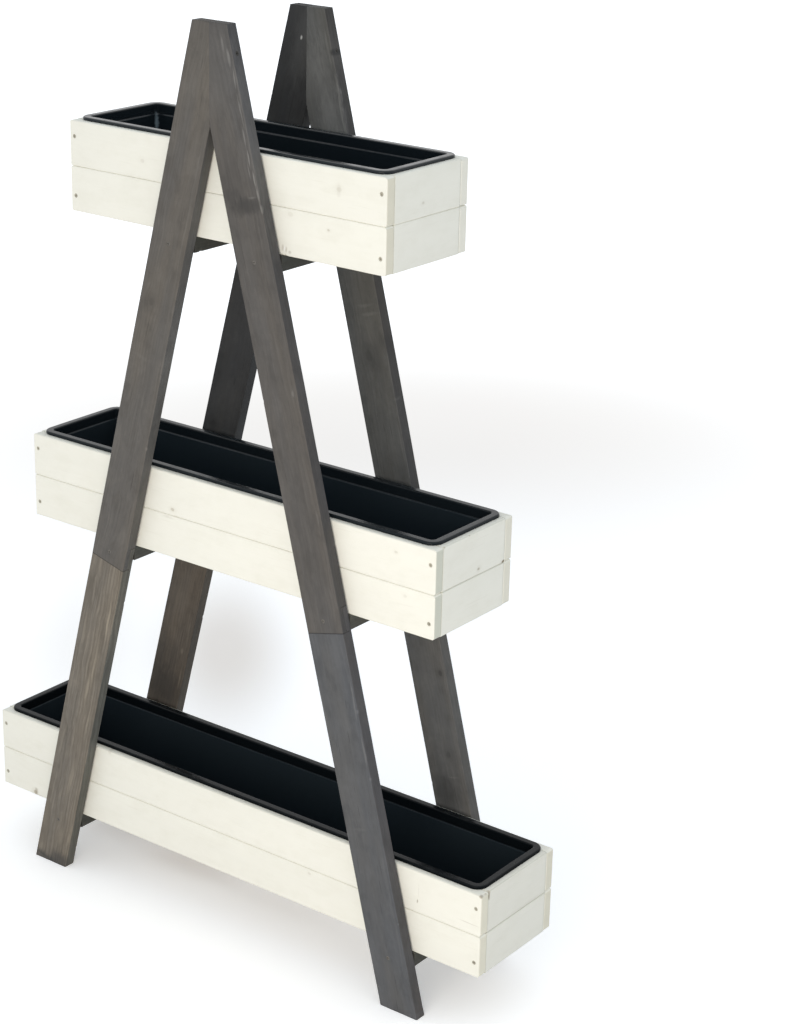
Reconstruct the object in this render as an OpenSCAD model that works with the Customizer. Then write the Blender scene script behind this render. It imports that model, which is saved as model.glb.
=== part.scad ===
// Plant ladder stand: two leaning A-frames that carry three planter boxes, each with a lift-out liner.
// X runs along the boxes, Y from front to rear, Z up. The feet stand on Z = 0, the origin is central.

/* [Frames] */
// Height of the frames
height = 1450; // [1380:10:1600]
// Width over the outer edges of the feet
foot_spread = 812; // [740:2:900]
// Width of the flat top of a frame
top_width = 65; // [56:1:80]
// Width of a leg, seen from the front
leg_w = 68; // [56:1:80]
// Thickness of a leg, front to rear
leg_t = 20.5; // [16:0.5:28]
// Radius of a leg's eased long edges
leg_ease = 4; // [1:0.5:6]
// Length of the half lap that joins the two lengths of a leg
lap_length = 38; // [30:1:60]
// Distance of the front apex screw below the top
front_apex_drop = 40; // [30:1:70]
// Distance of the rear apex screw below the top
rear_apex_drop = 60; // [30:1:70]

/* [Tiers] */
// Height of the underside of the bottom box above the floor
first_tier = 98.5; // [70:0.5:140]
// Distance from one tier to the next
tier_pitch = 517; // [440:1:530]

/* [Bearers] */
// Width of a bearer, along the box
bearer_w = 70; // [60:1:90]
// Height of a bearer
bearer_h = 24; // [20:1:34]
// Space between a box and each frame
frame_clearance = 2.5; // [1:0.5:10]
// Radius of a bearer's eased long edges
bearer_ease = 1.5; // [0.5:0.5:4]

/* [Boxes] */
// Length of the top box
top_length = 600; // [520:10:700]
// Length of the middle box
middle_length = 800; // [700:10:900]
// Length of the bottom box
bottom_length = 1000; // [920:10:1150]
// Depth of the boxes, front to rear
box_depth = 190; // [170:1:230]
// Height of one board, two of which make a wall
board_h = 69.25; // [60:0.25:90]
// Thickness of the boards
board_t = 18; // [15:0.5:22]
// Radius of the boards' eased edges
board_ease = 2; // [1:0.5:4]
// Radius of the boards' corners at the ends of the box
corner_ease = 5; // [1:0.5:6]
// Distance of the end boards inside the ends of the front and rear boards
end_recess = 0.5; // [0:0.25:2]

/* [Floor slats] */
// Width of a slat
slat_w = 50; // [35:1:60]
// Thickness of a slat
slat_t = 18; // [14:0.5:22]
// Distance between the centres of the two slats
slat_spacing = 80; // [66:1:86]

/* [Liners] */
// Space between a liner's neck and the boards round it
neck_gap = 1; // [0.5:0.25:2]
// Width of the board tops that the rim covers
rim_overlap = 9.5; // [7:0.5:12]
// Height of the rim
rim_h = 5; // [4:0.5:8]
// Space between the rim and the board tops
rim_gap = 0.2; // [0.1:0.05:0.5]
// Radius of the rim's rolled outer and inner edges
rim_roll_r = 2.5; // [1.5:0.5:3.5]
// Thickness of the liner's walls
wall = 2; // [1.5:0.25:2.5]
// Depth of the neck, from the top of the rim to the ledge
neck_depth = 16; // [12:1:30]
// Width of the ledge
ledge_w = 2; // [1.5:0.5:5]
// Fall of the ledge, in degrees
ledge_fall = 25; // [5:5:50]
// Inward lean of the wall below the ledge, top to bottom
draft = 2; // [0.5:0.5:5]
// Inner radius of the upright corners at the floor
floor_corner_r = 2.5; // [2.5:0.5:12]
// Inner radius between the walls and the floor
floor_r = 2; // [0.5:0.5:2]
// Space between a liner's floor and the slats
floor_gap = 0.5; // [0.25:0.25:3]

/* [Screws] */
// Diameter of a screw's shank
shank_d = 3.5; // [3:0.5:5]
// Diameter of a screw's head
head_d = 6.5; // [6:0.5:9]
// Depth of a head below the surface
head_sink = 0.5; // [0:0.25:1]
// Depth to which a leg's screw enters the bearer
leg_bite = 30; // [20:1:45]
// Depth to which a corner screw enters the end board
corner_bite = 22.5; // [15:0.5:35]
// Distance of a corner screw from the box's top or bottom edge
corner_screw_edge = 24; // [18:1:34]
// Depth to which a fixing screw enters the board or slat on the bearer
fixing_bite = 11.5; // [8:0.5:13]
// Distance of the fixing screws to each side of a bearer's middle
fixing_offset = 20; // [12:1:24]
// Length of the apex screws
apex_screw_length = 65; // [55:1:70]

/* [Hidden] */

// Places and signs that tell the pieces apart
LEFT = -1;
RIGHT = 1;
FRONT = -1;
REAR = 1;
BOTTOM = 0;
MIDDLE = 1;
TOP = 2;
UPPER = true;
LOWER = false;

// Colours
grey_stain = "#66625c";
dark_stain = "#3c3a39";
worn_stain = "#7b7267";
cream_paint = "#eeecdf";
bare_wood = "#c9b48f";
black_plastic = "#15191c";
steel = "#8b877d";

// Facets of an eased edge, a screw and a liner's corner, all of which stay true circles
edge_fn = 24;
screw_fn = 32;
corner_fn = 64;
// How far a cut runs past the face that it opens
over = 1;

// Frames
lean = atan((foot_spread - top_width) / 2 / height);
leg_across = leg_w / cos(lean);
bearer_length = box_depth + 2 * frame_clearance;
leg_y = (bearer_length + leg_t) / 2;

// Tiers, from the bottom up
tier_z = [first_tier, first_tier + tier_pitch, first_tier + 2 * tier_pitch];
box_length = [bottom_length, middle_length, top_length];
lap_z = tier_z[MIDDLE] - bearer_h / 2;

// Boxes
box_h = 2 * board_h;
opening_y = box_depth / 2 - board_t;

// Screws
pilot_gap = 0.1;
head_r = head_d / 2;
shank_r = shank_d / 2;
tip_length = 6;
drive_w = 1;
drive_depth = 1.2;
drive_span = head_d - 2 * drive_depth - drive_w;
leg_screw_length = leg_t - head_sink + leg_bite;
corner_screw_length = board_t - head_sink + corner_bite;
fixing_screw_length = bearer_h - head_sink + fixing_bite;

// Liners: the section's x is 0 at the rim's outer edge, and its y is 0 at the rim's top
roll_steps = 6;
rim_w = rim_overlap + neck_gap + wall;
ledge_drop = ledge_w * tan(ledge_fall);
ledge_turn = wall * tan((90 - ledge_fall) / 2);
rim_corner_r = floor_corner_r + rim_w + ledge_w + draft;
liner_depth = rim_h + rim_gap + box_h - slat_t - floor_gap;
neck_x = -rim_w + wall;
body_x = neck_x - ledge_w;
foot_x = body_x - draft;
floor_x = foot_x - wall - floor_r;

// Distance of a leg's middle line from the centre, at a height above the floor
function leg_x(z) = foot_spread / 2 - z * tan(lean) - leg_across / 2;

// Distance along a leg, from its outer foot corner, to the point of its middle line at a height
function along_leg(z) = (z + leg_w / 2 * sin(lean)) / cos(lean);

// Distance of a bearer's middle from the centre: the legs' screws enter its ends
function bearer_x(tier) = leg_x(tier_z[tier] - bearer_h / 2);

// Half the length of a box's opening, and the middle of its end boards
function opening_x(tier) = box_length[tier] / 2 - end_recess - board_t;
function end_x(tier) = opening_x(tier) + board_t / 2;

// Height of the middle of an upper or lower board
function board_z(tier, upper) = tier_z[tier] + (upper ? 1.5 : 0.5) * board_h;

// Points of an arc, from one angle to another
function arc(centre, r, from, to) = [
    for (i = [0 : roll_steps])
        let (a = from + (to - from) * i / roll_steps)
            centre + r * [cos(a), sin(a)]
];

// ---- Shapes that several pieces share ----

// A piece made for the right side, on the side that is asked for
module on_side(side) {
    if (side == LEFT) mirror([1, 0, 0]) children();
    else children();
}

// A rectangle with round corners, made of two bars and four circles
module eased_rectangle(x, y, r) {
    square([x, y - 2 * r], center = true);
    square([x - 2 * r, y], center = true);
    for (i = [-1, 1], j = [-1, 1])
        translate([i * (x / 2 - r), j * (y / 2 - r)]) circle(r, $fn = edge_fn);
}

// Half outline of a screw, its head at the origin and its point down, with room round it
function screw_outline(length, gap) = [
    [0, gap],
    [head_r + gap, gap],
    [head_r + gap, -gap],
    [shank_r + gap, shank_r - head_r - gap],
    [shank_r + gap, tip_length - length],
    [0, -length - gap]
];

// A countersunk screw with a cross drive
module screw(length) {
    color(steel)
        difference() {
            rotate_extrude($fn = screw_fn) polygon(screw_outline(length, 0));
            for (turn = [0, 90])
                rotate(turn) cube([drive_span, drive_w, 2 * drive_depth], center = true);
        }
}

// The hole that a screw fills, open above its head
module screw_hole(length) {
    rotate_extrude($fn = screw_fn) polygon(screw_outline(length, pilot_gap));
    cylinder(h = head_sink + over, r = head_r + pilot_gap, $fn = screw_fn);
}

// ---- Places of the screws: each puts its children there, with a screw's head at their origin ----

// Through a leg into the end of a bearer
module at_bearer_screw(tier, side, face) {
    translate([side * bearer_x(tier), face * (leg_y + leg_t / 2 - head_sink), tier_z[tier] - bearer_h / 2])
        rotate([-90 * face, 0, 0])
            children();
}

// Square into the outer edge of the right leg, and on into the left one
module at_apex_screw(face) {
    drop = face == FRONT ? front_apex_drop : rear_apex_drop;
    translate([top_width / 2 + drop * tan(lean), face * leg_y, height - drop])
        rotate([0, 90 - lean, 0])
            translate([0, 0, -head_sink])
                children();
}

// Through a front or rear board into an end board
module at_corner_screw(tier, side, face, upper) {
    z = tier_z[tier] + (upper ? box_h - corner_screw_edge : corner_screw_edge);
    translate([side * end_x(tier), face * (box_depth / 2 - head_sink), z])
        rotate([-90 * face, 0, 0])
            children();
}

// Up through a bearer, at a distance from its middle along x and from the centre line along y
module at_fixing_screw(tier, side, x, y) {
    translate([side * (bearer_x(tier) + x), y, tier_z[tier] - bearer_h + head_sink])
        rotate([180, 0, 0])
            children();
}

// The fixing screws' two rows: outside the bearer's middle into the boards, inside it into the slats
module at_board_fixing(tier, side, face)
    at_fixing_screw(tier, side, fixing_offset, face * (box_depth - board_t) / 2) children();

module at_slat_fixing(tier, side, face)
    at_fixing_screw(tier, side, -fixing_offset, face * slat_spacing / 2) children();

// ---- Frames ----

// A right leg before it is cut into two lengths: mitred against the left one, level at top and foot
module whole_leg() {
    intersection() {
        translate([foot_spread / 2, 0, 0])
            rotate([0, -lean, 0])
                translate([-leg_w / 2, 0, -leg_w])
                    linear_extrude(height / cos(lean) + 2 * leg_w)
                        eased_rectangle(leg_w, leg_t, leg_ease);
        translate([0, -leg_t, 0]) cube([foot_spread, 2 * leg_t, height]);
    }
}

// The upper length's share of a right leg, which laps down over the outer half of the lower length
module upper_share(face) {
    translate([foot_spread / 2, 0, 0])
        rotate([0, -lean, 0])
            translate([-2 * leg_w, 0, along_leg(lap_z)]) {
                translate([0, -leg_t, lap_length / 2])
                    cube([4 * leg_w, 2 * leg_t, height]);
                translate([0, face == FRONT ? -leg_t : 0, -lap_length / 2])
                    cube([4 * leg_w, leg_t, height]);
            }
}

// The upper or the lower length of a leg
module leg_length(side, face, upper) {
    stain = face == REAR ? dark_stain : upper ? grey_stain : worn_stain;
    color(stain)
        difference() {
            translate([0, face * leg_y, 0])
                on_side(side)
                    if (upper)
                        intersection() {
                            whole_leg();
                            upper_share(face);
                        }
                    else
                        difference() {
                            whole_leg();
                            upper_share(face);
                        }
            for (tier = upper ? [MIDDLE, TOP] : [BOTTOM, MIDDLE])
                at_bearer_screw(tier, side, face) screw_hole(leg_screw_length);
            if (upper) at_apex_screw(face) screw_hole(apex_screw_length);
        }
}

// A short timber from frame to frame, under one end of a box
module bearer(tier, side) {
    color(dark_stain)
        difference() {
            translate([side * bearer_x(tier), 0, tier_z[tier] - bearer_h / 2])
                rotate([90, 0, 0])
                    linear_extrude(bearer_length, center = true)
                        eased_rectangle(bearer_w, bearer_h, bearer_ease);
            for (face = [FRONT, REAR]) {
                at_bearer_screw(tier, side, face) screw_hole(leg_screw_length);
                at_board_fixing(tier, side, face) screw_hole(fixing_screw_length);
                at_slat_fixing(tier, side, face) screw_hole(fixing_screw_length);
            }
        }
}

// ---- Boxes ----

// A front or rear board, the full length of the box, with every edge eased
module long_board(tier, face, upper) {
    length = box_length[tier];
    color(cream_paint)
        difference() {
            translate([0, face * (box_depth - board_t) / 2, board_z(tier, upper)])
                intersection() {
                    rotate([90, 0, 90])
                        linear_extrude(length, center = true)
                            eased_rectangle(board_t, board_h, board_ease);
                    rotate([90, 0, 0])
                        linear_extrude(board_t, center = true)
                            eased_rectangle(length, board_h, corner_ease);
                    linear_extrude(board_h, center = true)
                        eased_rectangle(length, board_t, board_ease);
                }
            for (side = [LEFT, RIGHT]) {
                at_corner_screw(tier, side, face, upper) screw_hole(corner_screw_length);
                if (!upper) at_board_fixing(tier, side, face) screw_hole(fixing_screw_length);
            }
        }
}

// An end board, between the front and the rear board
module end_board(tier, side, upper) {
    color(cream_paint)
        difference() {
            translate([side * end_x(tier), 0, board_z(tier, upper)])
                rotate([90, 0, 0])
                    linear_extrude(2 * opening_y, center = true)
                        eased_rectangle(board_t, board_h, board_ease);
            for (face = [FRONT, REAR])
                at_corner_screw(tier, side, face, upper) screw_hole(corner_screw_length);
        }
}

// A floor slat, on the bearers, from end board to end board
module slat(tier, face) {
    color(bare_wood)
        difference() {
            translate([0, face * slat_spacing / 2, tier_z[tier] + slat_t / 2])
                rotate([90, 0, 90])
                    linear_extrude(2 * opening_x(tier), center = true)
                        eased_rectangle(slat_w, slat_t, board_ease);
            for (side = [LEFT, RIGHT])
                at_slat_fixing(tier, side, face) screw_hole(fixing_screw_length);
        }
}

// ---- Liners ----

// Section of a liner's wall, all round: rim with a turned-down lip, neck, ledge, body and foot
module liner_section() {
    polygon(concat(
        [[neck_x, -wall], [-wall, -wall], [-wall, -rim_h], [0, -rim_h]],
        arc([-rim_roll_r, -rim_roll_r], rim_roll_r, 0, 90),
        arc([-rim_w + rim_roll_r, -rim_roll_r], rim_roll_r, 90, 180),
        [[-rim_w, -neck_depth], [-rim_w - ledge_w, -neck_depth - ledge_drop]],
        arc([floor_x, -liner_depth + wall + floor_r], floor_r, 0, -90),
        [[floor_x, -liner_depth], [foot_x - wall, -liner_depth], [foot_x, -liner_depth + wall]],
        [[body_x, -neck_depth - ledge_drop - ledge_turn], [neck_x, -neck_depth - ledge_turn]]
    ));
}

// The section swept round a rectangle with round corners, and the floor that closes it
module liner(tier) {
    half_x = opening_x(tier) + rim_overlap;
    half_y = opening_y + rim_overlap;
    run_x = half_x - rim_corner_r;
    run_y = half_y - rim_corner_r;
    color(black_plastic)
        translate([0, 0, tier_z[tier] + box_h + rim_gap + rim_h]) {
            for (i = [0, 1], j = [0, 1])
                mirror([i, 0, 0]) mirror([0, j, 0])
                    translate([run_x, run_y, 0])
                        rotate_extrude(angle = 90, $fn = corner_fn)
                            translate([rim_corner_r, 0]) liner_section();
            for (turn = [0, 180])
                rotate(turn) {
                    translate([-run_x, half_y, 0])
                        rotate([90, 0, 90]) linear_extrude(2 * run_x) liner_section();
                    translate([half_x, run_y, 0])
                        rotate([90, 0, 0]) linear_extrude(2 * run_y) liner_section();
                }
            translate([0, 0, -liner_depth])
                linear_extrude(wall)
                    eased_rectangle(2 * (half_x + floor_x), 2 * (half_y + floor_x), rim_corner_r + floor_x);
        }
}

// ---- Screws ----

// Four through the legs into the bearers of a tier
module bearer_screws(tier) {
    for (side = [LEFT, RIGHT], face = [FRONT, REAR])
        at_bearer_screw(tier, side, face) screw(leg_screw_length);
}

// Eight at the corners of a box, two in each
module corner_screws(tier) {
    for (side = [LEFT, RIGHT], face = [FRONT, REAR], upper = [UPPER, LOWER])
        at_corner_screw(tier, side, face, upper) screw(corner_screw_length);
}

// Eight that hold a box down on its bearers
module fixing_screws(tier) {
    for (side = [LEFT, RIGHT], face = [FRONT, REAR]) {
        at_board_fixing(tier, side, face) screw(fixing_screw_length);
        at_slat_fixing(tier, side, face) screw(fixing_screw_length);
    }
}

// One across the top of each frame
module apex_screws() {
    for (face = [FRONT, REAR])
        at_apex_screw(face) screw(apex_screw_length);
}

leg_length(LEFT, FRONT, UPPER);  // front_left_upper_leg
leg_length(LEFT, FRONT, LOWER);  // front_left_lower_leg
leg_length(RIGHT, FRONT, UPPER);  // front_right_upper_leg
leg_length(RIGHT, FRONT, LOWER);  // front_right_lower_leg
leg_length(LEFT, REAR, UPPER);  // rear_left_upper_leg
leg_length(LEFT, REAR, LOWER);  // rear_left_lower_leg
leg_length(RIGHT, REAR, UPPER);  // rear_right_upper_leg
leg_length(RIGHT, REAR, LOWER);  // rear_right_lower_leg
bearer(TOP, LEFT);  // top_left_bearer
bearer(TOP, RIGHT);  // top_right_bearer
bearer(MIDDLE, LEFT);  // middle_left_bearer
bearer(MIDDLE, RIGHT);  // middle_right_bearer
bearer(BOTTOM, LEFT);  // bottom_left_bearer
bearer(BOTTOM, RIGHT);  // bottom_right_bearer
long_board(TOP, FRONT, UPPER);  // top_front_upper_board
long_board(TOP, FRONT, LOWER);  // top_front_lower_board
long_board(TOP, REAR, UPPER);  // top_rear_upper_board
long_board(TOP, REAR, LOWER);  // top_rear_lower_board
end_board(TOP, LEFT, UPPER);  // top_left_upper_board
end_board(TOP, LEFT, LOWER);  // top_left_lower_board
end_board(TOP, RIGHT, UPPER);  // top_right_upper_board
end_board(TOP, RIGHT, LOWER);  // top_right_lower_board
long_board(MIDDLE, FRONT, UPPER);  // middle_front_upper_board
long_board(MIDDLE, FRONT, LOWER);  // middle_front_lower_board
long_board(MIDDLE, REAR, UPPER);  // middle_rear_upper_board
long_board(MIDDLE, REAR, LOWER);  // middle_rear_lower_board
end_board(MIDDLE, LEFT, UPPER);  // middle_left_upper_board
end_board(MIDDLE, LEFT, LOWER);  // middle_left_lower_board
end_board(MIDDLE, RIGHT, UPPER);  // middle_right_upper_board
end_board(MIDDLE, RIGHT, LOWER);  // middle_right_lower_board
long_board(BOTTOM, FRONT, UPPER);  // bottom_front_upper_board
long_board(BOTTOM, FRONT, LOWER);  // bottom_front_lower_board
long_board(BOTTOM, REAR, UPPER);  // bottom_rear_upper_board
long_board(BOTTOM, REAR, LOWER);  // bottom_rear_lower_board
end_board(BOTTOM, LEFT, UPPER);  // bottom_left_upper_board
end_board(BOTTOM, LEFT, LOWER);  // bottom_left_lower_board
end_board(BOTTOM, RIGHT, UPPER);  // bottom_right_upper_board
end_board(BOTTOM, RIGHT, LOWER);  // bottom_right_lower_board
slat(TOP, FRONT);  // top_front_slat
slat(TOP, REAR);  // top_rear_slat
slat(MIDDLE, FRONT);  // middle_front_slat
slat(MIDDLE, REAR);  // middle_rear_slat
slat(BOTTOM, FRONT);  // bottom_front_slat
slat(BOTTOM, REAR);  // bottom_rear_slat
liner(TOP);  // top_liner
liner(MIDDLE);  // middle_liner
liner(BOTTOM);  // bottom_liner
bearer_screws(TOP);  // top_bearer_screws
bearer_screws(MIDDLE);  // middle_bearer_screws
bearer_screws(BOTTOM);  // bottom_bearer_screws
corner_screws(TOP);  // top_corner_screws
corner_screws(MIDDLE);  // middle_corner_screws
corner_screws(BOTTOM);  // bottom_corner_screws
fixing_screws(TOP);  // top_fixing_screws
fixing_screws(MIDDLE);  // middle_fixing_screws
fixing_screws(BOTTOM);  // bottom_fixing_screws
apex_screws();
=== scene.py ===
"""Plant ladder stand: worn timbers, moulded liners and screws, on a white studio floor."""

import math
import random
from collections import namedtuple

import bmesh
import bpy
from bpy.props import FloatProperty, FloatVectorProperty, IntProperty, PointerProperty
from mathutils import Euler, Matrix, Vector, noise


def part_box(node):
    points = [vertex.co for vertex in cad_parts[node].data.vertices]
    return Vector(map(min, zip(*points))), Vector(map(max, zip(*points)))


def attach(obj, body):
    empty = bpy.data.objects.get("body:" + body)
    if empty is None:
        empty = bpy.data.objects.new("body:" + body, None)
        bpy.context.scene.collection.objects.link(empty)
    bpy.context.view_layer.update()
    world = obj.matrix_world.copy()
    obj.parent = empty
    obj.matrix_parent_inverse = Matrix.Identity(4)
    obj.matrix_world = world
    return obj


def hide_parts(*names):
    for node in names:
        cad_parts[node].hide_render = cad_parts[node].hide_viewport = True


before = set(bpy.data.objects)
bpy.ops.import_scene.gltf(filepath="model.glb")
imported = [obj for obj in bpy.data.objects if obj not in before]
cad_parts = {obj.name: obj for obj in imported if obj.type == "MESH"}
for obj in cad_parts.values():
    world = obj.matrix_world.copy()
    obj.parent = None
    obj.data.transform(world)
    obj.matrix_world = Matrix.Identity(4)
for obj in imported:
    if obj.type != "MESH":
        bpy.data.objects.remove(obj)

bl_info = {
    "name": "Plant Ladder Stand",
    "version": (1, 0, 0),
    "blender": (4, 5, 0),
    "location": "View3D > Sidebar > Plant Stand",
    "description": "Dresses a ladder stand of planter boxes with worn timber and moulded plastic",
    "category": "Object",
}

MM = 0.001
TIERS = ("top", "middle", "bottom")
SIDES = {"left": -1, "right": 1}
FACES = ("front", "rear")
LEVELS = ("upper", "lower")
MERGE = 1e-6
ORIGIN = (0, 0, 0)
WHITE = (1, 1, 1)

# Turns that lay a timber's own X along its grain, its own Y through it and its own Z across it
ALONG_X = Euler((0, 0, 0))
ALONG_Y = Euler((0, 0, math.radians(90)))
ALONG_Y_FLAT = Euler((math.radians(90), 0, math.radians(90)))
ALONG_X_FLAT = Euler((math.radians(-90), 0, 0))

# A timber: its node, its middle, its turn, and half its size along, through and across the grain
Timber = namedtuple("Timber", "node centre turn half")
# A knot, in millimetres from a timber's middle, and how dark it is
Knot = namedtuple("Knot", "along across size strength")
# A soft patch, in millimetres from a timber's middle, and how much it is rubbed pale or painted lighter, or
# dark below 0
Patch = namedtuple("Patch", "along across length width tone")


def srgb(red, green, blue):
    """A colour given on a 0 to 255 scale, as the linear values that materials take."""

    def linear(value):
        share = value / 255
        return share / 12.92 if share <= 0.04045 else ((share + 0.055) / 1.055) ** 2.4

    return (linear(red), linear(green), linear(blue))


# A stain: its colour, how streaky it is, its tone on a timber's narrow faces as shares of red, green
# and blue, which is partly the stain and partly painted shade, and which colour it is rubbed to
Coat = namedtuple("Coat", "stain streaks side rubbed")
LEG_COATS = {
    "front_left_upper": Coat(srgb(98, 94, 89), 0.24, (0.89, 0.94, 1.0), "rubbed"),
    "front_left_lower": Coat(srgb(118, 111, 101), 0.62, (0.70, 0.79, 0.86), "rubbed_warm"),
    "front_right_upper": Coat(srgb(91, 88, 85), 0.24, (0.73, 0.76, 0.82), "rubbed"),
    "front_right_lower": Coat(srgb(89, 90, 92), 0.16, (0.90, 0.84, 0.80), "rubbed"),
    "rear_left_upper": Coat(srgb(59, 59, 59), 0.16, (0.80, 0.80, 0.80), "rubbed"),
    "rear_left_lower": Coat(srgb(93, 86, 78), 0.3, (0.65, 0.68, 0.70), "rubbed_warm"),
    "rear_right_upper": Coat(srgb(90, 90, 88), 0.22, (0.56, 0.54, 0.55), "rubbed"),
    "rear_right_lower": Coat(srgb(96, 95, 93), 0.2, (0.81, 0.81, 0.81), "rubbed"),
}
BEARER_COAT = Coat(srgb(84, 84, 78), 0.3, (0.8, 0.8, 0.8), "rubbed")
# How light the stain of each tier's bearers is
BEARER_TONES = {"top": 0.88, "middle": 1.28, "bottom": 1.0}

# Knots that show from the front, by timber, each as a Knot's values. The timbers that aren't named get
# a few of their own.
SHOWN_KNOTS = {
    "top_front_upper_board": [(217, 6, 4.5, 0.3), (-152, -7, 4, 0.3)],
    "top_front_lower_board": [(199, 15, 2.2, 0.7), (130, 27, 5, 0.25)],
    "middle_front_upper_board": [(-101, -24, 3.6, 0.75), (329, 15, 3, 0.45)],
    "middle_front_lower_board": [(347, 21, 3.5, 0.25)],
    "bottom_front_upper_board": [(-248, 33, 4, 0.35)],
    "bottom_front_lower_board": [(-425, -29, 4.5, 0.9), (176, 27, 3, 0.35)],
    "top_right_upper_board": [(-11, -14, 3, 0.45)],
    "top_right_lower_board": [],
    "middle_right_upper_board": [(12, -25, 2.8, 1.0)],
    "middle_right_lower_board": [],
    "bottom_right_upper_board": [],
    "bottom_right_lower_board": [],
    "front_right_upper_leg": [(107, 1, 3, 0.3)],
    "front_left_upper_leg": [(12, 10, 7, 0.35)],
    "front_left_lower_leg": [],
    "front_right_lower_leg": [],
    "rear_right_upper_leg": [(-72, 2, 9, 0.5), (395, 12, 6, 0.4)],
    "rear_left_upper_leg": [(-255, 14, 6, 0.5)],
}

# Rubbed, dark and uneven patches of stain and paint that show from the front, each as a Patch's values.
# The thin pale lines along the legs' right-hand arrises are partly rubbed and partly painted highlight.
SHOWN_PATCHES = {
    "front_left_upper_leg": [
        (-80, 8, 8, 40, 0.03), (10, 16, 34, 22, -0.16), (150, -27, 330, 4, 0.04),
        (-70, -38, 300, 14, 0.09), (-428, 0, 20, 26, -0.12), (360, 0, 170, 80, 0.02),
    ],
    # The thin pale lines near its right-hand arris are partly rubbed stain and partly painted highlight
    "front_right_upper_leg": [
        (190, -6, 30, 66, -0.55), (205, 18, 30, 34, -0.35), (236, 4, 80, 64, -0.14),
        (201, -19, 4, 18, 0.10), (284, -27, 30, 4, 0.20), (255, -28, 30, 3, 0.26),
        (238, -24, 26, 3, 0.14), (226, -31, 26, 3, 0.28), (203, -32, 20, 4, 0.22),
        (184, -32, 16, 4, 0.22), (325, -30, 50, 3, 0.16), (366, -30, 34, 3, 0.20),
        (398, -26, 30, 5, 0.18), (418, -20, 24, 5, 0.14), (290, -38, 360, 14, 0.13),
        (-190, 0, 150, 70, -0.07), (370, 0, 170, 80, 0.035), (-82, -26, 10, 5, 0.12),
        (-268, -27, 26, 4, 0.07), (-300, 6, 300, 60, -0.08),
    ],
    "front_left_lower_leg": [
        (-145, -9, 90, 12, 0.16), (36, -8, 60, 8, 0.2), (92, -14, 90, 8, 0.15),
        (182, -25, 80, 6, 0.32), (-20, -23, 70, 5, 0.15), (-265, -13, 46, 12, 0.12),
        (-60, 16, 150, 14, -0.12), (140, 20, 90, 8, 0.05), (-330, 0, 36, 110, -0.9),
        (-312, -22, 40, 60, -0.7), (-250, -31, 60, 4, 0.16), (190, -38, 220, 14, 0.07),
        (-290, -38, 90, 14, 0.09), (-20, -38, 120, 12, -0.2),
    ],
    "front_right_lower_leg": [
        (-29, 6, 6, 26, 0.04), (-150, -27, 280, 6, 0.03), (176, -30, 70, 4, 0.12),
        (96, -31, 60, 4, 0.12), (160, 31, 90, 3, 0.08), (150, -4, 60, 30, 0.03),
        (120, 4, 180, 40, -0.05),
    ],
    # Pale lines on its right arris are partly painted highlight; broad pale patches above the top box are
    # painted light
    "rear_right_upper_leg": [
        (300, -31, 120, 5, 0.2), (388, -29, 70, 4, 0.09), (330, -12, 150, 46, 0.09),
        (350, -38, 200, 12, 0.03), (404, 22, 44, 10, -0.3), (396, 2, 110, 60, 0.05),
        (318, 12, 190, 70, 0.10), (276, -14, 96, 64, 0.14), (-32, 2, 44, 50, 0.02),
        (-100, 6, 70, 50, -0.14), (379, -38, 13, 12, -0.95), (345, -38, 170, 14, 0.02),
        (-8, -13, 8, 34, 0.07), (6, -8, 6, 34, 0.06), (-82, -12, 60, 36, -0.26),
        (-50, -28, 34, 14, -0.3), (-64, -38, 50, 14, -0.4), (-140, -38, 8, 8, 0.12),
        (-210, -29, 90, 4, 0.05), (-212, 0, 80, 74, 0.025), (-180, -38, 130, 12, 0.03),
    ],
    "rear_left_upper_leg": [(403, 1, 7, 4, 0.95), (392, -4, 140, 44, 0.045), (-215, 0, 110, 74, 0.025)],
    "rear_left_lower_leg": [
        (140, 4, 180, 50, 0.025), (38, -21, 14, 6, 0.13), (-14, -27, 44, 4, 0.09),
        (80, -25, 50, 6, 0.06), (-46, 2, 100, 90, -0.56), (18, 10, 84, 64, -0.3),
    ],
    "rear_right_lower_leg": [
        (60, -29, 280, 6, 0.035), (-56, 10, 80, 60, -0.46), (-25, -10, 4, 22, 0.06),
        (120, -38, 220, 14, 0.06),
    ],
    "top_front_upper_board": [(217, 5, 9, 20, -0.10), (88, -34, 5, 4, -0.55)],
    "top_front_lower_board": [
        (118, -24, 5, 10, -0.26), (124, -26, 4, 9, -0.28), (130, -28, 6, 6, -0.28),
        (121, -25, 3, 8, 0.5),
    ],
    "middle_front_upper_board": [(-95, -33, 18, 5, -0.22)],
    "middle_front_lower_board": [(-112, 31, 26, 6, -0.12)],
    "bottom_front_upper_board": [
        (384, -15, 3, 8, -0.55), (385, 4, 1.6, 26, -0.12), (478, -17, 40, 2, -0.22),
        (498, 33, 9, 7, -0.6),
    ],
    "bottom_front_lower_board": [(-418, -33, 26, 5, -0.25), (-424, -28, 9, 12, -0.4)],
    "middle_right_upper_board": [(76, -33, 10, 6, -0.95)],
    # A broad dark patch over each of the bottom box's right end boards is painted shade
    "bottom_right_upper_board": [
        (-74, 27, 4, 15, -0.85), (-74, 0, 3, 60, -0.10), (0, 0, 400, 200, -0.07),
        (20, -30, 120, 5, -0.07),
    ],
    "bottom_right_lower_board": [(0, 0, 400, 200, -0.045)],
}

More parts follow.
